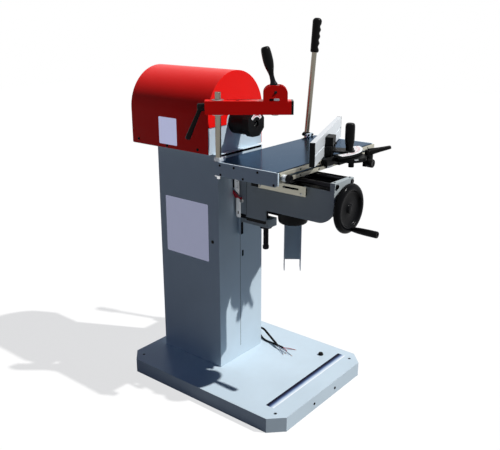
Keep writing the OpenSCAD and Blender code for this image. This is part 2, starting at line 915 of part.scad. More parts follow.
module strip_spacers() {
    front = depth_y[0] + spacer_in;
    back = depth_y[1] + spacer_out;
    color("#1d1e20")
    for (y = [[front, front + spacer_l[0]], [back - spacer_l[1], back]])
        span_box([depth_x[1], -knee_w / 2], y, [depth_z[0], depth_z[0] + spacer_h]);
}

module depth_strip() {
    slot_y = [depth_y[0] + depth_slot_inset, depth_y[0] + depth_slot_inset + depth_slot_l];
    slot_mid = depth_z[1] - depth_slot_drop;
    cut_x = [depth_x[0] - overrun, depth_x[1] + overrun];
    color("#c8c6b6")
    difference() {
        span_box(depth_x, depth_y, depth_z);
        span_box(cut_x, slot_y, [slot_mid - depth_slot_w / 2, slot_mid + depth_slot_w / 2]);
        for (y = slot_y)
            rod_x(cut_x, y, slot_mid, depth_slot_w / 2);
    }
}

// A mitre gear whose cone points up
module mitre_gear(bore_r) {
    slant = gear_face * sqrt(2);
    difference() {
        union() {
            cylinder(h = gear_face, r1 = gear_r, r2 = gear_r - gear_face);
            translate([0, 0, -gear_hub]) cylinder(h = gear_hub, r = gear_hub_r);
        }
        translate([0, 0, -gear_hub - overrun]) cylinder(h = gear_hub + gear_face + 2 * overrun, r = bore_r);
        for (k = [0:gear_teeth - 1])
            rotate([0, 0, 360 * k / gear_teeth]) translate([gear_r, 0, 0]) rotate([0, -45, 0])
                span_box([-gear_notch_d, overrun], [-gear_notch_w / 2, gear_notch_w / 2], [-overrun, slant + overrun]);
    }
}

module lift_screw() {
    shoulder = screw_web_z - slide_gap;
    color("#2a2c2e") {
        rod_z(0, screw_y, [shoulder - screw_l, shoulder], screw_d / 2);
        rod_z(0, screw_y, [shoulder, wheel_z - gear_r - gear_gap + gear_face], journal_d / 2);
    }
}

module screw_gear() {
    color("#7b8085")
    translate([0, screw_y, wheel_z - gear_r - gear_gap]) mitre_gear(journal_d / 2 + fit_gap);
}

module shaft_gear() {
    color("#7b8085")
    translate([0, screw_y - gear_r - gear_gap, wheel_z]) rotate([-90, 0, 0]) mitre_gear(wheel_shaft_d / 2 + fit_gap);
}

module wheel_shaft() {
    color("#9da2a6")
    rod_y(0, [wheel_y - wheel_hub_front + wheel_shaft_recess, screw_y - gear_r - gear_gap + gear_face], wheel_z,
        wheel_shaft_d / 2);
}

module at_wheel() {
    translate([0, wheel_y, wheel_z]) rotate([90, 0, 0]) children();
}

module handwheel() {
    bore_r = wheel_shaft_d / 2 + fit_gap;
    rim_r = wheel_d / 2 - wheel_rim_d / 2;
    color("#1a1b1d")
    at_wheel() {
        rotate_extrude() {
            translate([rim_r, 0]) circle(wheel_rim_d / 2);
            translate([bore_r, -wheel_web_back]) square([rim_r - bore_r, wheel_web_t]);
            translate([bore_r, -wheel_hub_back]) square([wheel_hub_r - bore_r, wheel_hub_back + wheel_hub_front]);
        }
        rotate([0, 0, grip_angle]) translate([grip_orbit, 0, 0]) cylinder(h = grip_pin_l, r = grip_pin_d / 2);
    }
}

module wheel_grip() {
    foot = wheel_rim_d / 2 + grip_gap;
    color("#161719")
    at_wheel() rotate([0, 0, grip_angle]) translate([grip_orbit, 0, 0])
        difference() {
            translate([0, 0, foot]) cylinder(h = wheel_grip_l, r = wheel_grip_d / 2);
            translate([0, 0, foot - overrun]) cylinder(h = grip_pin_l - foot + overrun + grip_gap,
                r = grip_pin_d / 2 + fit_gap);
        }
}

// Saddle
cross_y = [saddle_y[0] + cross_inset, saddle_y[1] - cross_inset];

module saddle_plate() {
    color("#98a3aa")
    span_box([-lug_x, lug_x], saddle_y, [saddle_bottom, saddle_top]);
}

module rod_blocks() {
    color("#8b9196")
    for (s = [-1, 1], y = [saddle_y[0], saddle_y[1] - block_l])
        translate([s * guide_gap / 2, y, 0])
            difference() {
                span_box([-block_half, block_half], [0, block_l], [guide_z - block_half, saddle_bottom]);
                rod_y(0, [-overrun, block_l + overrun], guide_z, guide_d / 2 + fit_gap);
            }
}

module cross_carriages() {
    color("#8b9196")
    for (s = [-1, 1], y = cross_y)
        translate([s * carriage_x, y, 0])
            difference() {
                span_box([-carriage_l / 2, carriage_l / 2], [-carriage_half, carriage_half],
                    [saddle_top, carriage_top]);
                rod_x([-carriage_l, carriage_l], 0, cross_z, cross_d / 2 + fit_gap);
            }
}

// Table
module table_top() {
    color("#7f8892")
    span_box(top_x, table_y, [table_under, table_z]);
}

module table_ends() {
    color("#b4bfc6")
    for (x = [[table_x[0], top_x[0]], [top_x[1], table_x[1]]])
        span_box(x, table_y, [end_plate_z, table_z]);
}

module table_beam() {
    color("#b4bfc6")
    difference() {
        span_box(top_x, [table_y[0], table_y[0] + beam_t], [beam_z, table_under]);
        span_box([table_x[0], table_x[1]], [table_y[0] - overrun, table_y[0] + cavity_d],
            [slot_z - cavity_h / 2, slot_z + cavity_h / 2]);
    }
}

module slot_strips() {
    color("#c3c0ae")
    for (z = [slot_z + slot_w / 2, slot_z - slot_w / 2 - strip_h])
        span_box(table_x, [strip_front, table_y[0]], [z, z + strip_h]);
}

module cross_rods() {
    color("#aab0b5")
    for (y = cross_y)
        rod_x(top_x, y, cross_z, cross_d / 2);
}

module clamp_post() {
    color("#b4b9bd")
    rod_z(post_x, post_y, [table_z, table_z + post_h], post_d / 2);
}

module lever_bracket() {
    color("#c6cdd2") {
        span_box([bracket_x - bracket_w / 2, bracket_x + bracket_w / 2], [table_y[1], table_y[1] + bracket_t],
            [table_z - bracket_drop, table_z + bracket_rise]);
        rod_y(bracket_x, [table_y[1] + bracket_t, lever_y[1] + slide_gap], pivot_z, pivot_d / 2);
        rod_y(bracket_x, [lever_y[1] + slide_gap, lever_y[1] + slide_gap + pivot_cap_t], pivot_z, pivot_cap_r);
    }
}

module at_lever() {
    translate([bracket_x, lever_mid_y, pivot_z]) rotate([0, lever_lean, 0]) children();
}

module lever_rod() {
    color("#9fa5aa")
    difference() {
        union() {
            rod_y(bracket_x, lever_y, pivot_z, lever_hub_r);
            at_lever() cylinder(h = lever_l, r = lever_d / 2);
        }
        rod_y(bracket_x, [lever_y[0] - overrun, lever_y[1] + overrun], pivot_z, pivot_d / 2 + fit_gap);
    }
}

module lever_grip() {
    color("#17181a")
    at_lever() difference() {
        translate([0, 0, lever_l + grip_end - lever_grip_l]) cylinder(h = lever_grip_l, r = lever_grip_d / 2);
        cylinder(h = lever_l, r = lever_d / 2 + fit_gap);
    }
}

// Clamp arm, drawn along +X from the post
module arm_bush() {
    half = arm_side / 2 + slide_gap;
    color("#8d9195")
    at_arm() difference() {
        union() {
            rod_z(0, 0, [-half, half], bush_r);
            for (z = [-half - bush_flange_t, half])
                rod_z(0, 0, [z, z + bush_flange_t], bush_flange_r);
        }
        rod_z(0, 0, [-arm_side, arm_side], post_d / 2 + fit_gap);
    }
}

module ear_outline() {
    flank = ear_h - ear_round;
    reach = ear_w / 2 - ear_round;
    translate([-ear_w / 2, -arm_wall]) square([ear_w, flank + arm_wall]);
    translate([-reach, 0]) square([2 * reach, ear_h]);
    for (s = [-1, 1])
        translate([s * reach, flank]) circle(ear_round);
}

module arm_tube() {
    half = arm_side / 2;
    inner = half - arm_wall;
    color("#d81e1a")
    at_arm() difference() {
        union() {
            difference() {
                span_box([-arm_tail, arm_reach], [-half, half], [-half, half]);
                span_box([arm_plug - arm_tail, arm_reach + overrun], [-inner, inner], [-inner, inner]);
            }
            for (y = [-half, half - ear_t])
                translate([cam_reach, 0, half]) along_y([y, y + ear_t]) ear_outline();
        }
        rod_z(0, 0, [-arm_side, arm_side], bush_r + fit_gap);
        rod_z(cam_reach, 0, [-arm_side, arm_side], plunger_d / 2 + fit_gap);
        rod_x([-arm_tail - overrun, arm_plug - arm_tail + overrun], 0, 0, lock_stud_d / 2 + fit_gap);
        rod_y(cam_reach, [-arm_side, arm_side], half + cam_rise, cam_pin_d / 2 + fit_gap);
    }
}

module arm_cap() {
    half = arm_side / 2;
    color("#17181a")
    at_arm() span_box([arm_reach, arm_reach + cap_t], [-half, half], [-half, half]);
}

module at_cam() {
    at_arm() translate([cam_reach, 0, arm_side / 2 + cam_rise]) children();
}

module cam_lever() {
    stem = cam_lever_l - grip_end;
    color("#2a2c2e")
    at_cam() {
        rod_y(cam_offset, [-cam_half, cam_half], 0, cam_r);
        rod_y(0, [-arm_side / 2, arm_side / 2], 0, cam_pin_d / 2);
        rotate([0, cam_lean, 0]) cylinder(h = stem, r = cam_stem_d / 2);
    }
}

module cam_grip() {
    foot = cam_lever_l - cam_grip_l;
    color("#17181a")
    at_cam() rotate([0, cam_lean, 0]) difference() {
        translate([0, 0, foot]) cylinder(h = cam_grip_l, r1 = cam_grip_r[0], r2 = cam_grip_r[1]);
        translate([0, 0, foot - overrun]) cylinder(h = cam_grip_l - grip_end + overrun, r = cam_stem_d / 2 + fit_gap);
    }
}

module clamp_plunger() {
    foot = -arm_side / 2 - plunger_drop;
    color("#a4a9ad")
    at_arm() {
        rod_z(cam_reach, 0, [foot, arm_side / 2 + cam_rise - cam_r - slide_gap], plunger_d / 2);
        rod_z(cam_reach, 0, [foot, foot + pad_t], pad_r);
    }
}

module arm_lock() {
    color("#17181a")
    at_arm() {
        rod_x([-arm_tail - lock_hub_l, -bush_r - lock_tip_gap], 0, 0, lock_stud_d / 2);
        rod_x([-arm_tail - lock_hub_l, -arm_tail - slide_gap], 0, 0, lock_hub_r);
        translate([-arm_tail - lock_hub_l / 2, 0, 0]) rotate([0, 180 + lock_handle_lean, 0])
            cylinder(h = lock_handle_l, r1 = lock_handle_r[0], r2 = lock_handle_r[1]);
    }
}

// The part of a slider that runs in the table's front slot, between two places along the table
module slot_runner(x) {
    head = cavity_h / 2 - slide_gap;
    neck = slot_w / 2 - slide_gap;
    span_box(x, [table_y[0] + slide_gap, table_y[0] + cavity_d - slide_gap], [slot_z - head, slot_z + head]);
    span_box(x, [strip_front - slide_gap, table_y[0] + slide_gap], [slot_z - neck, slot_z + neck]);
}

module slot_stop() {
    foot = strip_front - slide_gap;
    color("#232527") {
        slot_runner([stop_x - stop_neck_half, stop_x + stop_neck_half]);
        rod_y(stop_x, [foot - stop_shank_l, foot], slot_z, stop_shank_r);
        rod_y(stop_x, [foot - stop_shank_l - stop_knob_l, foot - stop_shank_l], slot_z, stop_knob_r);
    }
}

// Mitre gauge and fence
plate_z = [gauge_top - gauge_plate_t, gauge_top];
head_z = scale_top + slide_gap;

// The raised plate that carries the angle scale, a ring's sector about a point near the fence
module scale_plate() {
    reach = 2 * scale_r[1];
    middle = (scale_span[0] + scale_span[1]) / 2;
    translate([scale_x, scale_y, scale_top - scale_t]) linear_extrude(scale_t) intersection() {
        difference() {
            circle(scale_r[1]);
            circle(scale_r[0]);
        }
        polygon([[0, 0], for (a = [scale_span[0], middle, scale_span[1]]) reach * [cos(a), sin(a)]]);
    }
}

module gauge_slide() {
    back = strip_front - slide_gap;
    color("#1f2123") {
        slot_runner([gauge_x - gauge_left, gauge_x + gauge_right]);
        span_box([gauge_x - gauge_neck_half, gauge_x + gauge_neck_half], [back - gauge_body_d, back],
            [slot_z - gauge_foot, gauge_top]);
        span_box([gauge_x - gauge_left + tab_inset, gauge_x - gauge_left + tab_inset + tab_w], [back - tab_t, back],
            [slot_z - tab_h, slot_z + slot_w / 2]);
        difference() {
            at_gauge() {
                rod_z(0, 0, plate_z, gauge_r);
                rod_z(lock_x, lock_y, plate_z, lobe_r);
            }
            span_box(table_x, [back, table_y[1]], [plate_z[0] - overrun, plate_z[1] + overrun]);
        }
        at_gauge() {
            scale_plate();
            rod_z(0, 0, [gauge_top, scale_top], boss_r);
            rod_z(0, 0, [plate_z[0], scale_top + gauge_pin_h], gauge_pin_d / 2);
            rod_z(lock_x, lock_y, [plate_z[0], gauge_top + lock_lever_h - grip_end], lock_pin_d / 2);
            rod_z(pivot_nut_x, pivot_nut_y, [plate_z[0] - pivot_nut_h, plate_z[0]], pivot_nut_r);
            span_box([knob_x - knob_block_half, knob_x + knob_block_half], [knob_y, knob_y + knob_block_d],
                [plate_z[0] - knob_foot, plate_z[0]]);
            rod_y(knob_x, [knob_y - knob_stud_l, knob_y], plate_z[0] - knob_drop, knob_stud_d / 2);
        }
    }
}

module fence_head() {
    color("#1f2123")
    at_fence() difference() {
        union() {
            rod_z(0, 0, [head_z, head_z + head_t], head_r);
            span_box([-head_half, head_half], [0, fence_off], [head_z, head_z + head_t]);
            span_box([-head_half, head_half], [fence_off - head_block_d, fence_off], [head_z, head_z + head_block_h]);
        }
        rod_z(0, 0, [head_z - overrun, head_z + head_t + overrun], gauge_pin_d / 2 + fit_gap);
    }
}

module fence() {
    x = [-fence_back, fence_l - fence_back];
    groove = fence_z + fence_h - fence_groove_drop;
    cut_x = [x[0] - overrun, x[1] + overrun];
    color("#c9ced2")
    at_fence() difference() {
        span_box(x, [fence_off, fence_off + fence_t], [fence_z, fence_z + fence_h]);
        span_box(cut_x, [fence_off - overrun, fence_off + fence_groove_d], [groove, groove + fence_groove_w]);
    }
}

module fence_caps() {
    color("#17181a")
    at_fence() for (x = [-fence_back - fence_cap_t, fence_l - fence_back])
        span_box([x, x + fence_cap_t], [fence_off, fence_off + fence_t], [fence_z, fence_z + fence_h]);
}

module gauge_grip() {
    foot = head_z + head_t + slide_gap;
    color("#17181a")
    at_gauge() difference() {
        rod_z(0, 0, [foot, foot + gauge_grip_h], gauge_grip_d / 2);
        rod_z(0, 0, [foot - overrun, scale_top + gauge_pin_h + slide_gap], gauge_pin_d / 2 + fit_gap);
    }
}

module gauge_lock() {
    color("#17181a")
    at_gauge() translate([lock_x, lock_y, gauge_top + slide_gap]) difference() {
        union() {
            rod_z(0, 0, [0, lock_lever_h], lock_lever_r);
            translate([0, 0, lock_lever_h / 2]) rotate([0, 90 - lock_lever_tilt, lock_lever_turn])
                cylinder(h = lock_lever_l, r1 = lock_taper_r[0], r2 = lock_taper_r[1]);
        }
        rod_z(0, 0, [-overrun, lock_lever_h - grip_end], lock_pin_d / 2 + fit_gap);
    }
}

module gauge_knob() {
    back = knob_y - slide_gap;
    color("#17181a")
    at_gauge() difference() {
        rod_y(knob_x, [back - knob_l, back], plate_z[0] - knob_drop, knob_r);
        rod_y(knob_x, [knob_y - knob_stud_l - slide_gap, back + overrun], plate_z[0] - knob_drop,
            knob_stud_d / 2 + fit_gap);
    }
}

base_tray();
base_stiffener();
column();
column_rail();
nut_bracket();
lift_nut();
motor_tray();
motor_housing();
fan_cover();
spindle_bearings();
hood();
chuck_guard();
cable_glands();
supply_cable();
motor_cable();
motor_shaft();
cooling_fan();
chuck_body();
chuck_jaws();
knee_casting();
knee_gibs();
guide_rods();
knee_collar();
switch_bracket();
knee_bushes();
strip_spacers();
lift_screw();
screw_gear();
handwheel();
wheel_shaft();
shaft_gear();
wheel_grip();
depth_strip();
saddle_plate();
rod_blocks();
cross_carriages();
table_top();
table_ends();
table_beam();
slot_strips();
cross_rods();
clamp_post();
lever_bracket();
lever_rod();
lever_grip();
arm_bush();
arm_tube();
arm_cap();
cam_lever();
cam_grip();
clamp_plunger();
arm_lock();
gauge_slide();
fence_head();
fence();
fence_caps();
gauge_grip();
gauge_lock();
gauge_knob();
slot_stop();
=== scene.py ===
from math import copysign, cos, pi, radians, sin, sqrt

import bmesh
import bpy
from mathutils import Matrix, Vector


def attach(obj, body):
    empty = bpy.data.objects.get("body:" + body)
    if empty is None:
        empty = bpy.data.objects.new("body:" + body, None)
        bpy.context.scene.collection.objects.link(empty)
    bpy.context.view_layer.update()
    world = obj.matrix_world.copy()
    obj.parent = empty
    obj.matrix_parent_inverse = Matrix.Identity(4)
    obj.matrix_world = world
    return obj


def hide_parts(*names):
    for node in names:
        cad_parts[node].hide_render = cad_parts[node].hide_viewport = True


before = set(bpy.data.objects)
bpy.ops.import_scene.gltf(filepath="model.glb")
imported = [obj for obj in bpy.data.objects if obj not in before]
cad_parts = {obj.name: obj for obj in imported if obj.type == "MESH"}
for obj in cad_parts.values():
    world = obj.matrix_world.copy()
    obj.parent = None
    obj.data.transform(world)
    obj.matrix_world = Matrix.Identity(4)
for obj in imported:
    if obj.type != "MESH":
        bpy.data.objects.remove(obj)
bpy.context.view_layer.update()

scene = bpy.context.scene
scene.view_settings.view_transform = "Standard"
mm = 0.001
weldGap = 2e-6  # metres; corners closer than this become one
upWay, leftWay, rightWay, frontWay, backWay = (0, 0, 1), (-1, 0, 0), (1, 0, 0), (0, -1, 0), (0, 1, 0)


def addObject(name, data):
    made = bpy.data.objects.new(name, data)
    scene.collection.objects.link(made)
    return made


# The photograph's view of the machine
viewpoint = {"place": (-1850.1, -1517.0, 1388.2), "tilt": 71.84, "turn": -51.03, "lens": 48.77}


def addCamera():
    lens = bpy.data.cameras.new("photoView")
    lens.lens = viewpoint["lens"]
    lens.sensor_width = 36
    holder = addObject("photoView", lens)
    holder.location = Vector(viewpoint["place"]) * mm
    holder.rotation_euler = (radians(viewpoint["tilt"]), 0, radians(viewpoint["turn"]))
    scene.camera = holder


addCamera()
print("camera set")


# Wraps a shader socket, so that sums on it add Math nodes
class Wire:
    def __init__(self, tree, socket=None):
        self.tree = tree
        self.socket = socket

    def add(self, kind, sockets, out=0, **settings):
        made = self.tree.nodes.new("ShaderNode" + kind)
        for key, value in settings.items():
            if key == "stops":  # of a colour ramp
                ramp = made.color_ramp.elements
                while len(ramp) < len(value):
                    ramp.new(1.0)
                for stop, (place, shade) in zip(ramp, value):
                    stop.position = place
                    stop.color = (*shade, 1)
            else:
                setattr(made, key, value)
        for key, value in sockets.items():
            if isinstance(value, Wire):
                self.tree.links.new(value.socket, made.inputs[key])
            else:
                made.inputs[key].default_value = value
        return Wire(self.tree, made.outputs[out])

    def sum(self, operation, first, second):
        return self.add("Math", {0: first, 1: second}, operation=operation)

    def __add__(self, other):
        return self.sum("ADD", self, other)

    __radd__ = __add__

    def __sub__(self, other):
        return self.sum("SUBTRACT", self, other)

    def __rsub__(self, other):
        return self.sum("SUBTRACT", other, self)

    def __mul__(self, other):
        return self.sum("MULTIPLY", self, other)

    __rmul__ = __mul__

    # A clamped ramp of this value between two levels
    def between(self, low, high):
        return self.add("MapRange", {"Value": self, "From Min": low, "From Max": high}, clamp=True)

    def blend(self, first, second):
        colours = {6: first if isinstance(first, Wire) else (*first, 1),
                   7: second if isinstance(second, Wire) else (*second, 1)}
        return self.add("Mix", {0: self, **colours}, 2, data_type="RGBA")


# A procedural material on the Principled shader
class Finish:
    def __init__(self, name, **fixed):
        self.material = bpy.data.materials.new(name)
        self.material.use_nodes = True
        self.tree = self.material.node_tree
        self.shader = self.tree.nodes["Principled BSDF"]
        self.wire = Wire(self.tree)
        self.place = self.wire.add("TexCoord", {}, "Object")
        for key, value in fixed.items():
            self.shader.inputs[key.replace("_", " ")].default_value = value

    # Noise over the object's own place, stretched by a scale for each axis
    def noise(self, scale, detail=3.0, stretch=None, rough=0.5):
        spot = self.place
        if stretch:
            spot = self.wire.add("Mapping", {"Vector": self.place, "Scale": stretch})
        return self.wire.add("TexNoise", {"Vector": spot, "Scale": scale, "Detail": detail, "Roughness": rough})

    # One where the surface turns a sharp corner
    def edges(self, radius):
        soft = self.wire.add("Bevel", {"Radius": radius}, samples=4)
        flat = self.wire.add("NewGeometry", {}, "Normal")
        same = self.wire.add("VectorMath", {0: soft, 1: flat}, "Value", operation="DOT_PRODUCT")
        return (1 - same).between(0.01, 0.12)

    # One where the surface faces up
    def upward(self):
        flat = self.wire.add("NewGeometry", {}, "Normal")
        return self.wire.add("SeparateXYZ", {0: flat}, 2).between(0.6, 0.98)

    # Joins the colour, the roughness and a bump to the shader
    def done(self, colour, rough, height, strength, distance):
        bump = self.wire.add("Bump", {"Height": height, "Strength": strength, "Distance": distance})
        for socket, value in (("Base Color", colour), ("Roughness", rough), ("Normal", bump)):
            self.tree.links.new(value.socket, self.shader.inputs[socket])
        return self.material


def tone(colour, factor):
    return tuple(min(1.0, c * factor) for c in colour)


# Powder coat: orange peel, slow drift of tone, dust on top faces, and paler edges, partly thin paint and partly a
# painted highlight
def powderCoat(name, colour, rough, peel, edgeWearAndHighlight, dust=0.05, shine=0.14, tint=(1.0, 1.0, 1.0)):
    f = Finish(name, IOR=1.5, Specular_IOR_Level=shine, Specular_Tint=(*tint, 1))
    drift = f.noise(4.0, 4.0)
    cloud = f.noise(38.0, 3.0)
    skin = f.noise(420.0, 2.0)
    grit = f.noise(1500.0, 2.0)
    body = drift.between(0.3, 0.7).blend(tone(colour, 0.94), tone(colour, 1.05))
    body = (cloud.between(0.52, 0.75) * f.upward() * dust).blend(body, (0.50, 0.49, 0.46))
    # Paler paint on sharp edges: partly thin paint, partly a painted edge highlight
    worn = f.edges(0.0022) * f.noise(70.0, 4.0).between(0.42, 0.62)
    body = (worn * 0.5).blend(body, edgeWearAndHighlight)
    return f.done(body, rough + (cloud - 0.5) * 0.14 + (grit - 0.5) * 0.08, skin * 0.7 + grit * 0.3, peel, 0.0006)


# Ground or brushed metal: fine lines along one way and cloudy wear
def brushedMetal(name, colour, rough, stretch, lines=0.25, bite=0.12, cloudiness=0.12, metal=1.0,
                 edge=(1.0, 1.0, 1.0)):
    f = Finish(name, Metallic=metal, Specular_IOR_Level=0.3, Specular_Tint=(*edge, 1.0))
    line = f.noise(60.0, 5.0, stretch, 0.65)
    cloud = f.noise(9.0, 4.0)
    mark = f.noise(160.0, 3.0).between(0.66, 0.74)
    shade = (line - 0.5) * lines + (cloud - 0.5) * cloudiness * 2
    body = (shade + 0.5).blend(tone(colour, 0.72), tone(colour, 1.25))
    body = (mark * 0.25).blend(body, tone(colour, 0.5))
    return f.done(body, rough + (line - 0.5) * 0.22 + (cloud - 0.5) * 0.16 + mark * 0.1, line, bite, 0.0002)


# Moulded plastic: fine grain, faint handling shine and pale scuffs on the edges
def mouldedPlastic(name, colour, rough, grain=0.25, scuff=0.35, shine=0.07):
    f = Finish(name, IOR=1.49, Specular_IOR_Level=shine)
    pore = f.noise(1700.0, 2.0)
    cloud = f.noise(24.0, 4.0)
    streak = f.noise(210.0, 3.0).between(0.62, 0.72)
    worn = f.edges(0.0012) * f.noise(120.0, 3.0).between(0.4, 0.65)
    body = cloud.blend(tone(colour, 0.75), tone(colour, 1.35))
    body = (worn * scuff + streak * 0.06).blend(body, tuple(c + 0.05 for c in colour))
    return f.done(body, rough + (cloud - 0.5) * 0.2 + (pore - 0.5) * 0.12 + streak * 0.08, pore, grain, 0.0003)


# Printed film or foil: a smooth skin with slight yellowing and lifted specks
def printedFilm(name, colour, rough, metal=0.0, shine=0.2):
    f = Finish(name, IOR=1.46, Specular_IOR_Level=shine, Metallic=metal)
    cloud = f.noise(18.0, 4.0)
    speck = f.noise(900.0, 2.0).between(0.68, 0.76)
    body = cloud.blend(tone(colour, 0.93), tone(colour, 1.03))
    body = (speck * 0.3).blend(body, tone(colour, 0.6))
    return f.done(body, rough + (cloud - 0.5) * 0.15 + speck * 0.2, f.noise(260.0, 2.0), 0.06, 0.0003)


# A film whose colour fades from its front edge to its back one
def fadedFilm(name, stops, front, back, rough):
    f = Finish(name, IOR=1.46, Specular_IOR_Level=0.03)
    cloud = f.noise(30.0, 4.0)
    across = f.wire.add("SeparateXYZ", {0: f.place}, 1).between(front * mm, back * mm)
    body = f.wire.add("ValToRGB", {0: across + (cloud - 0.5) * 0.08}, stops=stops)
    return f.done(body, rough + (cloud - 0.5) * 0.15, f.noise(260.0, 2.0), 0.06, 0.0003)


def twistedCopper(name):
    f = Finish(name, Metallic=1.0)
    strand = f.noise(2600.0, 2.0)
    body = strand.blend((0.42, 0.20, 0.10), (0.86, 0.50, 0.30))
    return f.done(body, 0.28 + strand * 0.2, strand, 0.5, 0.0002)


standGrey = (0.55, 0.66, 0.745)
# The castings' grey: the stand's grey made darker and warmer, partly a rougher casting paint and partly painted
# shade for the parts under the table
castShadedGrey = tuple(v * k for v, k in zip(standGrey, (0.76, 0.71, 0.66)))
stripFade = [
    (0.0, (0.9, 0.93, 0.96)), (0.3, (0.46, 0.58, 0.74)), (0.52, (0.07, 0.11, 0.24)),
    (0.72, (0.008, 0.009, 0.024))]
finishes = {made.name: made for made in [
    powderCoat("standPaint", standGrey, 0.42, 0.1, (0.74, 0.79, 0.83)),
    powderCoat("castPaintShaded", castShadedGrey, 0.5, 0.32, (0.6, 0.66, 0.7)),
    powderCoat("hoodPaint", (0.975, 0.012, 0.01), 0.34, 0.09, (0.95, 0.12, 0.09), 0.02, 0.18,
               (1.0, 0.06, 0.07)),
    # Table steel: its dark blue-grey and strong cloudy tone are partly a painted reflection of dark surroundings
    brushedMetal("tableSteelPaintedReflection", (0.06, 0.088, 0.135), 0.19, (0.25, 9.0, 9.0), 0.3, 0.1, 0.22, 1.0,
                 (0.5, 0.58, 0.68)),
    brushedMetal("rodSteel", (0.215, 0.2, 0.165), 0.24, (9.0, 9.0, 0.6), 0.25, 0.08),
    brushedMetal("brightSteel", (0.66, 0.67, 0.68), 0.3, (4.0, 4.0, 4.0), 0.18, 0.08),
    brushedMetal("plainSteel", (0.33, 0.335, 0.335), 0.34, (4.0, 4.0, 4.0), 0.22, 0.1),
    brushedMetal("blackSteel", (0.01, 0.01, 0.012), 0.34, (9.0, 0.5, 9.0), 0.3, 0.1),
    brushedMetal("stripMetal", (0.5, 0.485, 0.4), 0.44, (0.3, 9.0, 9.0), 0.22, 0.12, 0.12, 0.6),
    brushedMetal("fenceMetal", (0.72, 0.765, 0.8), 0.42, (0.4, 0.4, 12.0), 0.1, 0.07, 0.06, 0.25),
    brushedMetal("bronze", (0.5, 0.33, 0.12), 0.32, (5.0, 5.0, 5.0), 0.25, 0.1),
    mouldedPlastic("guardPlastic", (0.0065, 0.007, 0.0075), 0.46, 0.3),
    mouldedPlastic("gripPlastic", (0.0045, 0.0045, 0.005), 0.28, 0.14),
    mouldedPlastic("wheelPlastic", (0.003, 0.0033, 0.0042), 0.2, 0.1, 0.35, 0.04),
    mouldedPlastic("cableSheath", (0.006, 0.006, 0.007), 0.5, 0.3),
    mouldedPlastic("coreRed", (0.42, 0.05, 0.08), 0.42, 0.1),
    mouldedPlastic("coreBlue", (0.04, 0.06, 0.14), 0.42, 0.1),
    mouldedPlastic("coreGrey", (0.42, 0.45, 0.48), 0.42, 0.1),
    printedFilm("blankFoil", (0.27, 0.285, 0.395), 0.36, 1.0),
    printedFilm("paleFoil", (0.43, 0.455, 0.65), 0.36, 1.0),
    printedFilm("whiteFilm", (0.86, 0.88, 0.9), 0.36),
    fadedFilm("stripFilm", stripFade, -304, -271, 0.36),
    printedFilm("darkFilm", (0.01, 0.01, 0.015), 0.36),
    printedFilm("brightFoil", (0.92, 0.93, 0.94), 0.55, 1.0),
    # Near-black film: dark seams, and painted shade in holes, slots and gaps
    printedFilm("seamAndHoleShade", (0.003, 0.003, 0.005), 0.8, 0.0, 0.02),
    printedFilm("redFilm", (0.64, 0.02, 0.04), 0.36),
    twistedCopper("copper"),
]}
print("finishes made", len(finishes))


# Mesh making, in millimetres
def meshFrom(points, faces):
    mesh = bpy.data.meshes.new("shape")
    mesh.from_pydata([Vector(p) * mm for p in points], [], faces)
    work = bmesh.new()
    work.from_mesh(mesh)
    bmesh.ops.remove_doubles(work, verts=work.verts, dist=weldGap)
    bmesh.ops.dissolve_degenerate(work, edges=work.edges, dist=weldGap / 2)
    bmesh.ops.recalc_face_normals(work, faces=work.faces)
    work.to_mesh(mesh)
    work.free()
    return mesh


def loft(rings, loop=False):
    count = len(rings[0])
    points = [p for ring in rings for p in ring]
    last = len(rings) if loop else len(rings) - 1
    faces = []
    for i in range(last):
        a, b = i * count, ((i + 1) % len(rings)) * count
        faces += [(a + k, a + (k + 1) % count, b + (k + 1) % count, b + k) for k in range(count)]
    if not loop:
        faces.append(tuple(reversed(range(count))))
        faces.append(tuple(range(len(points) - count, len(points))))
    return meshFrom(points, faces)


def around(count):
    return [2 * pi * k / count for k in range(count)]


# A ring of points at one height, from a radius for each turn
def polarRing(radii, height):
    return [(r * cos(t), r * sin(t), height) for r, t in zip(radii, around(len(radii)))]


def roundRing(radius, height, count=36):
    return polarRing([radius] * count, height)


# A profile of (radius, height) points turned about the upright axis
def turned(profile, sides, loop=False):
    return loft([roundRing(max(r, 0.0005), h, sides) for r, h in profile], loop)


def arc(x, y, r, start, stop, steps):
    turns = [radians(start + (stop - start) * k / steps) for k in range(steps + 1)]
    return [(x + r * cos(t), y + r * sin(t)) for t in turns]


rimAngle = 0.6  # radians; an edge that turns more than this is rounded


# An outline drawn flat and raised from one height to another, with its rims rounded
def slab(outline, low, high, rim, steps):
    count = len(outline)
    points = [(x, y, low) for x, y in outline] + [(x, y, high) for x, y in outline]
    faces = [(k, (k + 1) % count, (k + 1) % count + count, k + count) for k in range(count)]
    faces += [tuple(reversed(range(count))), tuple(range(count, 2 * count))]
    mesh = meshFrom(points, faces)
    work = bmesh.new()
    work.from_mesh(mesh)
    rims = [e for e in work.edges if len(e.link_faces) == 2 and e.calc_face_angle() > rimAngle]
    bmesh.ops.bevel(work, geom=rims, offset=rim * mm, segments=steps, profile=0.5, affect="EDGES",
                    clamp_overlap=True)
    work.to_mesh(mesh)
    work.free()
    return mesh


def roundedRect(x, y, corner, steps=4):
    (x0, x1), (y0, y1) = x, y
    middles = [(x1 - corner, y1 - corner), (x0 + corner, y1 - corner), (x0 + corner, y0 + corner),
               (x1 - corner, y0 + corner)]
    return [p for k, (x, y) in enumerate(middles) for p in arc(x, y, corner, 90 * k, 90 * k + 90, steps)]


def centredRect(x, y, corner):
    return roundedRect((-x, x), (-y, y), corner)


def plainRect(x, y):
    (x0, x1), (y0, y1) = x, y
    return [(x0, y0), (x1, y0), (x1, y1), (x0, y1)]


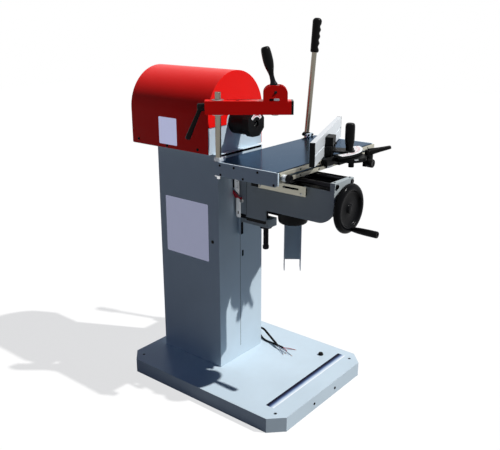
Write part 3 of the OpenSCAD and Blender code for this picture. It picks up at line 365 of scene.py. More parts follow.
# The turn that stands a flat outline up, with its top face towards a direction
def facing(along):
    forward = Vector(along).normalized()
    right = Vector(backWay if tuple(along) == upWay else upWay).cross(forward).normalized()
    return Matrix((right, forward.cross(right), forward)).transposed().to_4x4()


def placed(mesh, place, turn):
    mesh.transform(Matrix.Translation(Vector(place) * mm) @ turn)
    return mesh


# Turns a mesh's upright axis to a direction and moves its foot to a place
def seat(mesh, place, along=upWay, spin=0.0):
    turn = Matrix() if tuple(along) == upWay else Vector(along).to_track_quat("Z", "Y").to_matrix().to_4x4()
    return placed(mesh, place, turn @ Matrix.Rotation(radians(spin), 4, "Z"))


def onward(place, way, distance):
    return tuple(p + w * distance for p, w in zip(place, way))


def merge(meshes):
    work = bmesh.new()
    for mesh in meshes:
        work.from_mesh(mesh)
        bpy.data.meshes.remove(mesh)
    whole = bpy.data.meshes.new("shape")
    work.to_mesh(whole)
    work.free()
    return whole


def addPiece(name, mesh, body, finish, stands=None, crease=38):
    mesh.name = name
    piece = addObject(name, mesh)
    mesh.materials.append(finishes[finish])
    mesh.shade_smooth()
    mesh.set_sharp_from_angle(angle=radians(crease))
    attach(piece, body)
    if stands:
        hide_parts(stands)


# Cables out of the column's right side, each with its cores stripped at the free end
supplyCable = {
    "diameter": 9.0,
    "route": [(147, 90, 92), (155, 90, 92), (166, 88, 91), (175, 82, 90), (182, 72, 88), (185, 60, 86),
        (183, 48, 84), (178, 37, 82), (173, 26, 80), (168, 15, 78), (163, 4, 76), (158, -7, 74),
        (153, -18, 72), (148, -29, 70), (143, -40, 68), (138, -49, 66.5), (133, -58, 65)],
    "cores": [("coreBlue", (-10, -20, -3), (-28, -46, -8)), ("coreGrey", (-6, -22, -2), (-17, -50, -8)),
        ("coreBlue", (-4, -30, -3), (-15, -75, -8))],
}
motorCable = {
    "diameter": 7.0,
    "route": [(147, 118, 75), (154, 118, 75), (164, 116, 75), (172, 110, 74), (177, 101, 72), (178, 91, 70),
        (176, 80, 68), (172, 69, 66), (167, 58, 64), (162, 48, 62), (157, 38, 60.5), (153, 27, 59.5),
        (150, 15, 59), (149, 3, 59), (149, -9, 59), (149, -21, 59), (149, -33, 59), (148, -45, 59),
        (147, -56, 59), (146, -66, 59), (145, -76, 59)],
    "cores": [("coreGrey", (6, -14, 1.0), (16, -32, -1.5)), ("coreRed", (6, -18, 0.6), (19, -45, -2.2)),
        ("coreRed", (-3, -12, -0.4), (-11, -26, -2.2))],
}

# Cores: radii, share hidden in the sheath, start of the bend and span of the bare copper
coreForm = {"radius": 1.15, "copper": 0.7, "hidden": 0.4, "bend": 0.35, "bareFrom": 0.1, "bareTo": 0.2}


def softCurve(name, points, radius, finish):
    line = bpy.data.curves.new(name, "CURVE")
    line.dimensions = "3D"
    line.bevel_depth = radius * mm
    line.bevel_resolution = 5
    line.resolution_u = 6
    line.use_fill_caps = True
    path = line.splines.new("BEZIER")
    path.bezier_points.add(len(points) - 1)
    for knot, point in zip(path.bezier_points, points):
        knot.co = Vector(point) * mm
        knot.handle_left_type = knot.handle_right_type = "AUTO"
    line.materials.append(finishes[finish])
    return addObject(name, line)


def addCable(name, node, cable):
    route = [Vector(p) for p in cable["route"]]
    sheath = softCurve(name, route, cable["diameter"] / 2, "cableSheath")
    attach(sheath, "stand")
    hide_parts(node)
    tip = route[-1]
    cores = []
    for k, (finish, middle, end) in enumerate(cable["cores"]):
        start = tip + (route[-2] - tip) * coreForm["hidden"]
        bend, far = tip + Vector(middle), tip + Vector(end)
        bent = [start, tip + Vector(middle) * coreForm["bend"], bend, far]
        bare = [far - (far - bend) * coreForm["bareFrom"], far + (far - bend) * coreForm["bareTo"]]
        strand = softCurve(f"{name}Core{k}", bent, coreForm["radius"], finish)
        wire = softCurve(f"{name}Copper{k}", bare, coreForm["copper"], "copper")
        cores += [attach(strand, "stand"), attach(wire, "stand")]
    length = sum((b - a).length for a, b in zip(route, route[1:])) * mm


addCable("supplyLead", "supply_cable", supplyCable)
addCable("motorLead", "motor_cable", motorCable)
print("cables laid")


# Every node that is shown as it was built, by its finish, with its edge rounding
shownNodes = {
    "standPaint": {"base_tray": 1.2, "base_stiffener": 0.8, "column": 1.6, "column_rail": 0.8, "motor_tray": 1.0,
        "switch_bracket": 1.0, "table_beam": 0.8, "lever_bracket": 0.8},
    "castPaintShaded": {"nut_bracket": 1.6, "motor_housing": 1.5, "fan_cover": 0.6, "knee_casting": 3.0,
        "saddle_plate": 1.0},
    "blackSteel": {"lift_nut": 0.8, "guide_rods": 1.0, "cam_lever": 0.8},
    "plainSteel": {"spindle_bearings": 0.6, "chuck_body": 1.2, "chuck_jaws": 0.6, "knee_gibs": 0.8,
        "screw_gear": 0.3, "shaft_gear": 0.3, "rod_blocks": 1.0, "cross_carriages": 1.0, "arm_bush": 0.8,
        "clamp_plunger": 1.0},
    "hoodPaint": {"hood": 0.7, "arm_tube": 1.2},
    "rodSteel": {"motor_shaft": 0.8, "wheel_shaft": 1.0, "cross_rods": 0.8, "clamp_post": 1.5, "lever_rod": 0.8},
    "guardPlastic": {"cooling_fan": 0.5, "strip_spacers": 1.0, "gauge_slide": 1.0, "fence_head": 1.2,
        "chuck_guard": 1.5},
    "bronze": {"knee_bushes": 0.6},
    "stripMetal": {"depth_strip": 0.4, "slot_strips": 0.5},
    "tableSteelPaintedReflection": {"table_top": 0.6},
    "gripPlastic": {"arm_cap": 1.2, "fence_caps": 0.8},
    "fenceMetal": {"fence": 0.6},
}
nodeForm = {"flatAngle": 0.3, "rimAngle": 40, "rimSteps": 2, "weight": 60}


def dressNodes():
    shown = [(name, finish, rim) for finish, rims in shownNodes.items() for name, rim in rims.items()]
    for name, finish, rim in shown:
        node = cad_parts[name]
        node.data.materials.clear()
        node.data.materials.append(finishes[finish])
        weld = node.modifiers.new("weld", "WELD")
        weld.merge_threshold = weldGap
        flats = node.modifiers.new("flats", "DECIMATE")
        flats.decimate_type = "DISSOLVE"
        flats.angle_limit = radians(nodeForm["flatAngle"])
        soft = node.modifiers.new("rims", "BEVEL")
        soft.width = rim * mm
        soft.segments = nodeForm["rimSteps"]
        soft.limit_method = "ANGLE"
        soft.angle_limit = radians(nodeForm["rimAngle"])
        soft.use_clamp_overlap = True
        even = node.modifiers.new("shade", "WEIGHTED_NORMAL")
        even.weight = nodeForm["weight"]
        even.keep_sharp = False


dressNodes()
print("nodes dressed")


# Small fittings: socket and dome screws, hex bolts and washers, drawn as shares of their radius and height
def hexRing(size, height, count=36):
    sixth = pi / 3
    return polarRing([size / cos((t + sixth / 2) % sixth - sixth / 2) for t in around(count)], height)


def socketScrew(radius, height):
    soft, key = radius * 0.14, radius * 0.52
    rings = [roundRing(radius, 0), roundRing(radius, height - soft),
             roundRing(radius - soft * 0.4, height - soft * 0.4), roundRing(radius - soft, height),
             roundRing(key * 1.28, height), hexRing(key, height - soft * 0.8), hexRing(key, height * 0.35)]
    return loft(rings)


def domeScrew(radius, height):
    key = radius * 0.42
    rings = [roundRing(radius, 0), roundRing(radius, height * 0.2)]
    rings += [roundRing(radius * cos(a), height * (0.2 + 0.8 * sin(a))) for a in (0.35, 0.6, 0.85)]
    rings += [roundRing(key * 1.2, height), hexRing(key, height * 0.92), hexRing(key, height * 0.35)]
    return loft(rings)


def hexBolt(across, height):
    flat = across / 2
    rings = [hexRing(flat, 0), hexRing(flat, height * 0.82), roundRing(flat * 0.97, height),
             roundRing(flat * 0.4, height)]
    return loft(rings)


def washer(outer, inner, thick):
    rim = min(0.4, thick * 0.3)
    profile = [(inner, 0), (outer - rim, 0), (outer, rim), (outer, thick - rim), (outer - rim, thick),
               (inner, thick)]
    return turned(profile, 40, loop=True)


headSpin = 17  # degrees that each head is turned past the last


# A row of heads; the head is its maker followed by its sizes
def addFixings(name, body, finish, along, head, places):
    make, *sizes = head
    heads = [seat(make(*sizes), place, along, headSpin * k) for k, place in enumerate(places)]
    addPiece(name, merge(heads), body, finish)


# A turned piece, from its place, sides and section
def addTurned(name, form, along, body, finish, stands=None, loop=False):
    mesh = seat(turned(form["section"], form["sides"], loop), form["place"], along)
    addPiece(name, mesh, body, finish, stands)


# Dished handwheel with a round rim, and its crank grip
wheelForm = {"place": (0, -435.3, 749.6), "sides": 112, "section": [
    (0, 7), (9.5, 7), (12, 6.2), (14, 3.6), (16, 1.4), (20, 0.5), (36, 0.2), (50, 0.6), (55.5, 1.6), (58.5, 3.6),
    (60.2, 6.4), (61.2, 9.4), (63, 11.2), (66, 12), (71, 12.2), (76, 11.4), (80, 9), (82.8, 5.4), (84, 1),
    (83.8, -3), (82, -7.2), (78.6, -10.4), (73.5, -12), (68, -11.6), (63.5, -9.4), (60.5, -6.8), (55, -6),
    (30, -6.4), (22, -7), (20.3, -8), (20, -10), (0, -10)]}
addTurned("handwheelDish", wheelForm, frontWay, "handwheel", "wheelPlastic", "handwheel")
crankForm = {"place": (4.88, -447.8, 679.77), "sides": 48, "section": [
    (0, 0), (6.6, 0), (7.6, 0.8), (8, 3), (8.3, 7), (9.3, 14), (10.4, 26), (11.1, 42), (11.5, 60), (11.6, 78),
    (11.6, 90), (11.3, 93.2), (10.6, 94.6), (9.4, 95), (7.6, 95), (6.4, 94.4), (5.8, 92.2), (5, 91.4), (0, 91.4)]}
addTurned("crankGrip", crankForm, frontWay, "wheel_grip", "gripPlastic", "wheel_grip")

# Table lever's sleeve grip, scalloped for the fingers on one side, and the clamp at the rod's foot
leverForm = {"pivot": (405, 15.3, 855), "lean": 7, "start": 350, "length": 131, "radii": (16.4, 18.4),
             "footRound": 5, "headRound": 13, "fingers": 4, "fingerSpan": (10, 112), "fingerDeep": 4.2,
             "fingerWay": -45, "collar": 26, "bolt": 31.5, "boltOffset": 9, "boltSize": (13, 16)}
leverTurn = Matrix.Rotation(radians(leverForm["lean"]), 4, "Y")
leverWay = tuple(leverTurn.to_3x3() @ Vector(upWay))


def leverSleeve(sides=48, levels=96):
    length, (low, high), (thin, wide) = leverForm["length"], leverForm["fingerSpan"], leverForm["radii"]
    fingerWay = radians(leverForm["fingerWay"])
    rings = []
    for k in range(levels + 1):
        h = length * (0.5 - 0.5 * cos(pi * k / levels))
        foot, head = min(1.0, h / leverForm["footRound"]), min(1.0, (length - h) / leverForm["headRound"])
        ends = sqrt(1 - 0.4 * (1 - foot) ** 2) * sqrt(1 - 0.8 * (1 - head) ** 2)
        plain = (thin + (wide - thin) * h / length) * ends
        share = min(1.0, max(0.0, (h - low) / (high - low)))
        groove = leverForm["fingerDeep"] * sin(pi * leverForm["fingers"] * share) ** 2
        radii = [plain - groove * max(0.0, cos(t - fingerWay)) ** 1.4 for t in around(sides)]
        rings.append(polarRing(radii, h))
    return placed(loft(rings), onward(leverForm["pivot"], leverWay, leverForm["start"]), leverTurn)


addPiece("leverSleeve", leverSleeve(), "hand_lever", "gripPlastic", "lever_grip", 60)
leverCollar = [(10.1, 0), (13.6, 0), (14.4, 0.8), (14.4, 10.2), (13.6, 11), (10.1, 11)]
boltFoot = onward(onward(leverForm["pivot"], leverWay, leverForm["bolt"]), leftWay, leverForm["boltOffset"])
addPiece("leverCollar", merge([
    seat(turned(leverCollar, 40, loop=True), onward(leverForm["pivot"], leverWay, leverForm["collar"]), leverWay),
    seat(hexBolt(*leverForm["boltSize"]), boltFoot, leftWay)]), "hand_lever", "gripPlastic")

# Clamp arm's line from its post, and the clamp cam's bottle grip and black neck
armForm = {"post": (-165, -17), "height": 1060, "turn": -51, "half": 22.5}
armWay = Vector((cos(radians(armForm["turn"])), sin(radians(armForm["turn"])), 0))
armSide = Vector((-armWay.y, armWay.x, 0))


def onArm(s, side, z):
    return tuple(Vector((*armForm["post"], z)) + armWay * s + armSide * side)


camForm = {"centre": (-45.43, -164.66, 1110.5), "lean": -14, "pin": 190, "pinSide": 22.8}
camLean = radians(camForm["lean"])
camWay = tuple(armWay * sin(camLean) + Vector((0, 0, cos(camLean))))
camGrip = {"place": onward(camForm["centre"], camWay, 63), "sides": 56, "section": [
    (6.1, -8), (8.2, -7.6), (8.6, -4), (9.8, 2), (11.8, 9), (14.2, 18), (16, 28), (16.9, 38), (17, 50),
    (16.7, 60), (16, 70), (15, 77), (13.4, 81.6), (11, 84), (8.4, 84.9), (7.2, 84.6), (6.6, 83.4), (0, 83)]}
addTurned("camBottleGrip", camGrip, camWay, "cam_lever", "gripPlastic", "cam_grip")
camNeck = {"place": onward(camForm["centre"], camWay, 20.5), "sides": 48, "section": [
    (6.1, 0), (12, 0), (13, 1), (13, 5), (12.2, 7), (9.6, 12), (8.4, 18), (8, 26), (8, 36), (6.1, 36)]}
addTurned("camNeck", camNeck, camWay, "cam_lever", "blackSteel", loop=True)

# Mitre gauge grip, lock lever and knob
gaugeForm = {"pivot": (185, -318), "lock": (237, -364), "hub": 879.3, "lever": 888.3,
             "leverTurn": -40, "leverTilt": 10, "knob": (206, -381.3, 858), "knobSize": (15, 22, 34)}
gaugeGrip = {"place": (*gaugeForm["pivot"], 898.6), "sides": 64, "section": [
    (8.2, 0), (12, 0), (12.8, 0.8), (13, 3), (13.2, 9), (14, 15), (15.6, 23), (16.8, 33), (17.2, 45),
    (17.2, 80), (16.8, 86), (15.6, 90.4), (13.4, 93.4), (10, 94.8), (6, 95), (0, 95)]}
addTurned("gaugeSleeve", gaugeGrip, upWay, "gauge_grip", "gripPlastic", "gauge_grip")


# A lever of flattened sections, each with its distance, half width, half thickness and squareness
def flatLever(stations, sides=32):
    rings = []
    for along, wide, thick, power in stations:
        ring = []
        for t in around(sides):
            x, y = (copysign(abs(v) ** power, v) for v in (cos(t), sin(t)))
            ring.append((wide * x, thick * y, along))
        rings.append(ring)
    return loft(rings)


lockTurn, lockTilt = radians(gaugeForm["leverTurn"]), radians(gaugeForm["leverTilt"])
lockWay = (cos(lockTilt) * cos(lockTurn), cos(lockTilt) * sin(lockTurn), sin(lockTilt))
lockHub = [
    (6, 0), (11, 0), (12, 0.9), (12, 13.5), (11.4, 16), (9.6, 17.6), (7, 18), (6, 17.2), (5.4, 16.6), (0, 16.6)]
lockLever = [
    (4, 13, 12.4, 1), (14, 12.6, 12, 1), (26, 11, 10.4, 0.9), (40, 9.4, 8.8, 0.8), (60, 8, 7.4, 0.7),
    (77, 7, 6.4, 0.6), (82, 6.6, 6, 0.6), (84.4, 5.8, 5.2, 0.6), (85, 4.6, 4, 0.7)]
addPiece("gaugeLockLever", merge([
    seat(turned(lockHub, 48), (*gaugeForm["lock"], gaugeForm["hub"])),
    seat(flatLever(lockLever), (*gaugeForm["lock"], gaugeForm["lever"]), lockWay)]),
    "gauge_lock", "gripPlastic", "gauge_lock")


# A knurled knob: ridges run along the skirt, the face is dished
def knurledKnob(radius, height, ridges, depth=0.5):
    wave = [depth * (0.5 - 0.5 * cos(2 * pi * k / 4)) for k in range(ridges * 4)]

    def ring(r, h, cut):
        return polarRing([r - cut * w for w in wave], h)

    skirt = [ring(radius * 0.62, 0, 0), ring(radius - 1, 0, 0.4), ring(radius, 1, 1), ring(radius, height - 2.2, 1)]
    face = [ring(radius - 0.6, height - 0.9, 0.6), ring(radius - 2, height, 0), ring(radius * 0.6, height, 0),
            ring(radius * 0.5, height - 0.8, 0), ring(0.2, height - 1, 0)]
    return loft(skirt + face)


addPiece("gaugeKnob", seat(knurledKnob(*gaugeForm["knobSize"]), gaugeForm["knob"], frontWay),
         "gauge_knob", "gripPlastic", "gauge_knob")

# Slot stop: a bright collar on a runner in the slot, with a black knurled knob
stopForm = {"x": -150, "z": 857, "foot": -276.3, "collar": 19.5, "knobSize": (14.6, 12.5, 38),
            "runner": -267.6, "runnerHalf": 9}
stopCollar = [
    (0, 0), (10.8, 0), (11.5, 0.7), (11.5, 9), (10.7, 9.8), (10.7, 10.8), (11.5, 11.6), (11.5, 18.8),
    (10.8, 19.5), (0, 19.5)]
runnerShape = [(-5.3, -7.7), (0, -7.7), (0, -3.7), (9, -3.7), (9, 3.7), (0, 3.7), (0, 7.7), (-5.3, 7.7)]
runnerShape = [(stopForm["runner"] - a, stopForm["z"] + b) for a, b in reversed(runnerShape)]
runner = slab(runnerShape, -stopForm["runnerHalf"], stopForm["runnerHalf"], 0.4, 1)
stopFoot = (stopForm["x"], stopForm["foot"], stopForm["z"])
addPiece("stopCollar", merge([
    seat(turned(stopCollar, 48), stopFoot, frontWay), placed(runner, (stopForm["x"], 0, 0), facing(rightWay))]),
    "slot_stop", "fenceMetal", "slot_stop")
stopTop = onward(stopFoot, frontWay, stopForm["collar"])
addPiece("stopKnob", seat(knurledKnob(*stopForm["knobSize"]), stopTop, frontWay), "slot_stop", "gripPlastic")

# Arm lock: hub on the arm's tail and a handle that hangs from it
tailForm = {"start": -43.3, "middle": 13, "lean": 24}
tailLean = radians(tailForm["lean"])
tailWay = -armWay * sin(tailLean) - Vector((0, 0, cos(tailLean)))
tailHub = [(5, 0), (12, 0), (13, 0.9), (13, 19), (12.4, 22), (10.4, 24.6), (7, 25.6), (0, 25.7)]
tailHandle = [
    (0, 7.2, 8.6, 0.9), (14, 6.8, 7.6, 0.9), (30, 6.7, 7.2, 0.9), (60, 7.4, 7.8, 0.9), (95, 8.5, 8.9, 0.9),
    (110, 8.9, 9.2, 0.9), (115.5, 8.2, 8.5, 0.9), (117.6, 6.4, 6.6, 0.95), (118, 4, 4.2, 1)]
addPiece("armLockLever", merge([
    seat(turned(tailHub, 48), onArm(tailForm["start"], 0, armForm["height"]), -armWay),
    seat(flatLever(tailHandle), onArm(tailForm["start"] - tailForm["middle"], 0, armForm["height"]),
         tailWay)]), "arm_lock", "gripPlastic", "arm_lock")

# Black cup under the knee
kneeCup = {"place": (0, -214, 0), "sides": 80, "section": [
    (0, 658), (43, 658), (46.4, 658.7), (49.2, 660.8), (51.2, 664.4), (52.4, 669), (53.2, 678), (53.8, 690),
    (54, 700), (0, 700)]}
addTurned("kneeCup", kneeCup, upWay, "knee", "guardPlastic", "knee_collar")

# Lift screw with its thread, a plain journal above and a chamfered foot
liftForm = {"place": (0, -95, 0), "low": 539, "high": 711, "radius": 10, "depth": 1.3, "pitch": 5,
            "threadTop": 662, "sides": 40, "step": 0.625, "taper": 3, "journal": 8}


def threadedScrew():
    low, high, top, count = liftForm["low"], liftForm["high"], liftForm["threadTop"], liftForm["sides"]
    rings = []
    for k in range(int((top - low) / liftForm["step"]) + 1):
        z = low + k * liftForm["step"]
        foot = min(1.0, (z - low + 0.4) / liftForm["taper"])
        radii = []
        for j in range(count):
            phase = ((z - low) / liftForm["pitch"] - j / count) % 1
            ridge = max(0.0, min(1.0, (abs(phase - 0.5) * 2 - 0.3) / 0.35))
            radii.append((liftForm["radius"] - liftForm["depth"] * (1 - ridge)) * (0.78 + 0.22 * foot))
        rings.append(polarRing(radii, z))
    plain = liftForm["journal"]
    for r, z in ((plain + 0.7, top + 1), (plain, top + 2), (plain, high - 1), (plain - 0.8, high)):
        rings.append(roundRing(r, z, count))
    return loft(rings)


addPiece("liftThread", seat(threadedScrew(), liftForm["place"]), "lift_screw", "blackSteel", "lift_screw",
         30)
screwFoot = {"place": liftForm["place"], "sides": 40, "section": [
    (0, 531), (6, 531), (9.4, 532), (11.2, 534.4), (11.6, 537), (11.6, 545), (10.8, 546), (8, 546)]}
addTurned("screwFoot", screwFoot, upWay, "lift_screw", "blackSteel")

# Cable glands: hex body and domed nut round each lead
glandForm = {"places": [(125, 90, 92), (125, 118, 75)], "hex": 12.2, "hexTop": 5.4, "nut": (12.6, 9), "nutFoot": 6.8}
glandDome = [
    (9.5, 6.2), (11.6, 6.2), (12, 7), (12, 12), (11.4, 14.6), (9.8, 17), (8.2, 18.4), (7.6, 20), (7, 21.6),
    (6.2, 22), (0, 22)]
glandHex = [hexRing(glandForm["hex"], 0), hexRing(glandForm["hex"], glandForm["hexTop"])]
glandHex += [roundRing(radius, glandForm["nutFoot"]) for radius in glandForm["nut"]]
glands = []
for place in glandForm["places"]:
    glands += [seat(loft(glandHex), place, rightWay), seat(turned(glandDome, 40), place, rightWay)]
addPiece("leadGlands", merge(glands), "stand", "gripPlastic", "cable_glands")
print("turned pieces made")


# Blank labels, scales and strips, each a thin film on the face that carries it
def filmMesh(outline, place, along, thick):
    return placed(slab(outline, -0.05, thick, 0.12, 1), place, facing(along))


def addFilm(name, body, finish, outline, place, along, thick=0.35):
    addPiece(name, filmMesh(outline, place, along, thick), body, finish)


def arcBand(inner, outer, start, stop, steps=40):
    return arc(0, 0, outer, start, stop, steps) + list(reversed(arc(0, 0, inner, start, stop, steps)))


guardFace = (0, -49, 986)
arcForm = {"centre": (170, -195, 892), "band": (131, 161), "span": (-115, -38), "ticks": 27, "longEvery": 3,
           "longFrom": 134, "shortFrom": 145, "tickEnd": 152, "tickHalf": 0.8}
addFilm("columnLabel", "stand", "blankFoil", centredRect(108, 110, 4), (-125, 181.5, 586.5), leftWay)
addFilm("hoodLabel", "stand", "paleFoil", centredRect(45, 49, 3), (-150, 240, 949), leftWay)
addFilm("baseStrip", "stand", "stripFilm", centredRect(236, 16.5, 1), (14, -287.5, 55), upWay)
addFilm("guardArc", "stand", "whiteFilm", arcBand(24, 36, 35, 145), guardFace, frontWay)
addFilm("guardArcLine", "stand", "redFilm", arcBand(29, 31.4, 48, 132), guardFace, frontWay, 0.5)
addFilm("gaugeArc", "gauge", "whiteFilm", arcBand(*arcForm["band"], *arcForm["span"], 64), arcForm["centre"], upWay)


def gaugeTicks():
    marks = []
    (start, stop), end, half = arcForm["span"], arcForm["tickEnd"], arcForm["tickHalf"]
    for k in range(1, arcForm["ticks"]):
        turn = radians(start + (stop - start) * k / arcForm["ticks"])
        c, s = cos(turn), sin(turn)
        deep = arcForm["shortFrom"] if k % arcForm["longEvery"] else arcForm["longFrom"]
        outline = [(x * c - y * s, x * s + y * c) for x, y in plainRect((deep, end), (-half, half))]
        marks.append(filmMesh(outline, arcForm["centre"], upWay, 0.5))
    return merge(marks)


addPiece("gaugeTicks", gaugeTicks(), "gauge", "redFilm")
addFilm("gaugeIndex", "gauge", "whiteFilm", centredRect(7, 2.2, 0.8), (150.2, -368.1, 875.6),
        (-0.56, -0.83, 0), 1.2)
gaugeTab = placed(slab(centredRect(17, 9.5, 2), 0, 3, 0.5, 2), (120, -280.5, 851.8), facing(frontWay))
addPiece("gaugeTab", gaugeTab, "gauge", "fenceMetal")
print("films laid")

# Plugs, each with its sides and section
plugForms = {
    "plugHead": (32, [(0, 0), (6.4, 0), (6.6, 0.5), (6.2, 1.5), (5, 2.2), (2.5, 2.5), (0, 2.5)]),
    "cordPlug": (40, [(0, 0), (10, 0), (10.8, 0.8), (10.8, 2.4), (9.6, 3.4), (8.8, 7.4), (7.4, 9.2), (4, 10),
                      (0, 10)]),
    "anchorPlug": (32, [(0, 0), (5.8, 0), (5.8, 1.6), (0, 2.4)]),
}


def plug(kind):
    sides, section = plugForms[kind]
    return turned(section, sides)


# Screws and plugs: body, finish, direction, head and places
endPlaces = [(y, 867) for y in (-33, -95, -195)] + [(y, 835) for y in (-36, -134, -261)]
hoodPlaces = [(396, 903), (246, 895), (94, 899)]
endScrew, hoodScrew = (domeScrew, 4.2, 2.8), (domeScrew, 5.2, 3.4)
camPins = [[onArm(camForm["pin"], side * camForm["pinSide"], camForm["centre"][2])] for side in (-1, 1)]
fixings = {
    "endScrewsLeft": ("table", "blackSteel", leftWay, endScrew, [(-178, *p) for p in endPlaces]),
    "endScrewsRight": ("table", "blackSteel", rightWay, endScrew, [(442, *p) for p in endPlaces]),
    "stripScrews": ("table", "blackSteel", frontWay, (socketScrew, 3.6, 0.24),
        [(x, -276, z) for x in (-50, 60, 170, 280, 390) for z in (867.6, 846.4)]),
    "hoodScrewsLeft": ("stand", "gripPlastic", leftWay, hoodScrew, [(-150, *p) for p in hoodPlaces]),
    "hoodScrewsRight": ("stand", "gripPlastic", rightWay, hoodScrew, [(150, *p) for p in hoodPlaces]),
    "hoodScrewsBack": ("stand", "gripPlastic", backWay, hoodScrew,
        [(x, 430, z) for x in (-128, 128) for z in (905, 1000)]),
    "basePlug": ("stand", "gripPlastic", upWay, (plug, "cordPlug"), [(198, -223, 55)]),
    "anchorPlugs": ("stand", "gripPlastic", upWay, (plug, "anchorPlug"),
        [(x, y, 51.6) for x in (-242.5, 242.5) for y in (-327.5, 327.5)]),
    "columnPlug": ("stand", "gripPlastic", leftWay, (plug, "plugHead"), [(-125, 54, 559)]),
    "baseScrews": ("stand", "blackSteel", frontWay, (domeScrew, 5, 3), [(-69, -372.5, 25), (67, -372.5, 25)]),
    "camPinLeft": ("cam_lever", "blackSteel", tuple(-armSide), (domeScrew, 4.2, 1.6), camPins[0]),
    "camPinRight": ("cam_lever", "plainSteel", tuple(armSide), (domeScrew, 5.4, 1.6), camPins[1]),
    "leverBolt": ("hand_lever", "plainSteel", backWay, (hexBolt, 17, 6.5), [(405, 30.9, 855)]),
    "bracketScrews": ("table", "blackSteel", frontWay, (socketScrew, 4.4, 5), [(392, -4, 883.2), (418, -4, 883.2)]),
    "lugScrews": ("knee", "blackSteel", upWay, (socketScrew, 3.6, 1.2), [(x, -406.3, 841) for x in (-46, 46)]),
    "kneeScrews": ("knee", "blackSteel", frontWay, (socketScrew, 4.2, 4),
        [(x, -415.3, z) for x in (-44, 44) for z in (722, 797)]),
    "gibScrewsRight": ("knee", "blackSteel", rightWay, (socketScrew, 3.4, 2.6),
        [(38.3, -30, z) for z in (680, 737, 794)]),
    "stripSpacerScrews": ("knee", "plainSteel", leftWay, (domeScrew, 4.4, 2.4),
        [(-82, y, 793) for y in (-302, -131)]),
}
for name, settings in fixings.items():
    addFixings(name, *settings)

# Black foot under the fence's head, the slide's left end, and the bolts through the fence
fenceForm = {"angle": 23, "face": 53, "bolts": (-18, 18), "height": 917}
fenceTurn = radians(fenceForm["angle"])
fenceWay = Vector((cos(fenceTurn), sin(fenceTurn), 0))
fenceOut = Vector((fenceWay.y, -fenceWay.x, 0))
foot = slab(roundedRect((-42, 32), (55, 80.7), 2), 880.6, 915, 0.8, 2)
addPiece("headFoot", placed(foot, (*gaugeForm["pivot"], 0), Matrix.Rotation(fenceTurn, 4, "Z")), "mitre_fence",
         "guardPlastic")
addPiece("slideBlock", slab(roundedRect((72, 150), (-300, -277), 3), 856, 879, 1, 2), "gauge",
         "guardPlastic")
fenceBase = Vector((*gaugeForm["pivot"], fenceForm["height"]))
boltPlaces = [tuple(fenceBase + fenceWay * s - fenceOut * fenceForm["face"]) for s in fenceForm["bolts"]]
addFixings("fenceBolts", "mitre_fence", "blackSteel", tuple(fenceOut), (socketScrew, 5, 5.2), boltPlaces)
addFixings("fenceWashers", "mitre_fence", "plainSteel", tuple(fenceOut), (washer, 8, 4.4, 1.2), boltPlaces)


# A plate that stands across x, from its outline in y and z
def uprightPlate(outline, x, thick):
    return placed(slab(outline, -thick, 0, min(0.3, thick * 0.3), 1), (x, 0, 0), facing(rightWay))


# Height scale on the stand, and its black holder, which stands in for the shade between the scale and the column
scaleForm = {"x": -46.5, "y": (-8, 14), "z": (732, 806), "cut": 749, "column": 21.8, "thick": 1.4,
             "ticks": 16, "margin": 4, "longEvery": 5, "long": 12, "short": 7, "tickHalf": 0.5}
(scaleFront, scaleRear), (scaleLow, scaleHigh) = scaleForm["y"], scaleForm["z"]


def heightMarks():
    marks = []
    span, half = scaleHigh - scaleLow - 2 * scaleForm["margin"], scaleForm["tickHalf"]
    for k in range(scaleForm["ticks"]):
        z = scaleLow + scaleForm["margin"] + k * span / (scaleForm["ticks"] - 1)
        reach = scaleForm["short"] if k % scaleForm["longEvery"] else scaleForm["long"]
        outline = plainRect((scaleFront + 1, scaleFront + reach), (z - half, z + half))
        marks.append(uprightPlate(outline, scaleForm["x"] - 0.65, 0.2))
    return merge(marks)


scaleShape = [
    (scaleFront, scaleLow), (scaleRear, scaleForm["cut"]), (scaleRear, scaleHigh), (scaleFront, scaleHigh)]
addPiece("heightScale", uprightPlate(scaleShape, scaleForm["x"] + 0.7, scaleForm["thick"]), "stand", "brightFoil")
# Black holder behind the scale: painted shade between the scale and the column front
scaleShadeShape = plainRect((scaleRear - 2, scaleForm["column"]), (scaleForm["cut"] + 4, scaleHigh))
addPiece("scaleShadeHolder", uprightPlate(scaleShadeShape, scaleForm["x"] + 2.2, scaleForm["thick"]), "stand", "gripPlastic")
addPiece("heightMarks", heightMarks(), "stand", "darkFilm")

# Pointer of the height scale, and its slotted carrier on the knee
carrierForm = {"x": -38.3, "y": (-8, 12), "z": (643, 716), "hole": (3, 661), "bolt": (-12, 709), "washer": 1.4,
               "leafX": -48.5, "footDeep": 11}
carrierX, (holeY, holeZ) = carrierForm["x"], carrierForm["hole"]
carrier = uprightPlate(roundedRect(carrierForm["y"], carrierForm["z"], 4), carrierX, 1.1)
addPiece("pointerCarrier", carrier, "knee", "brightFoil")
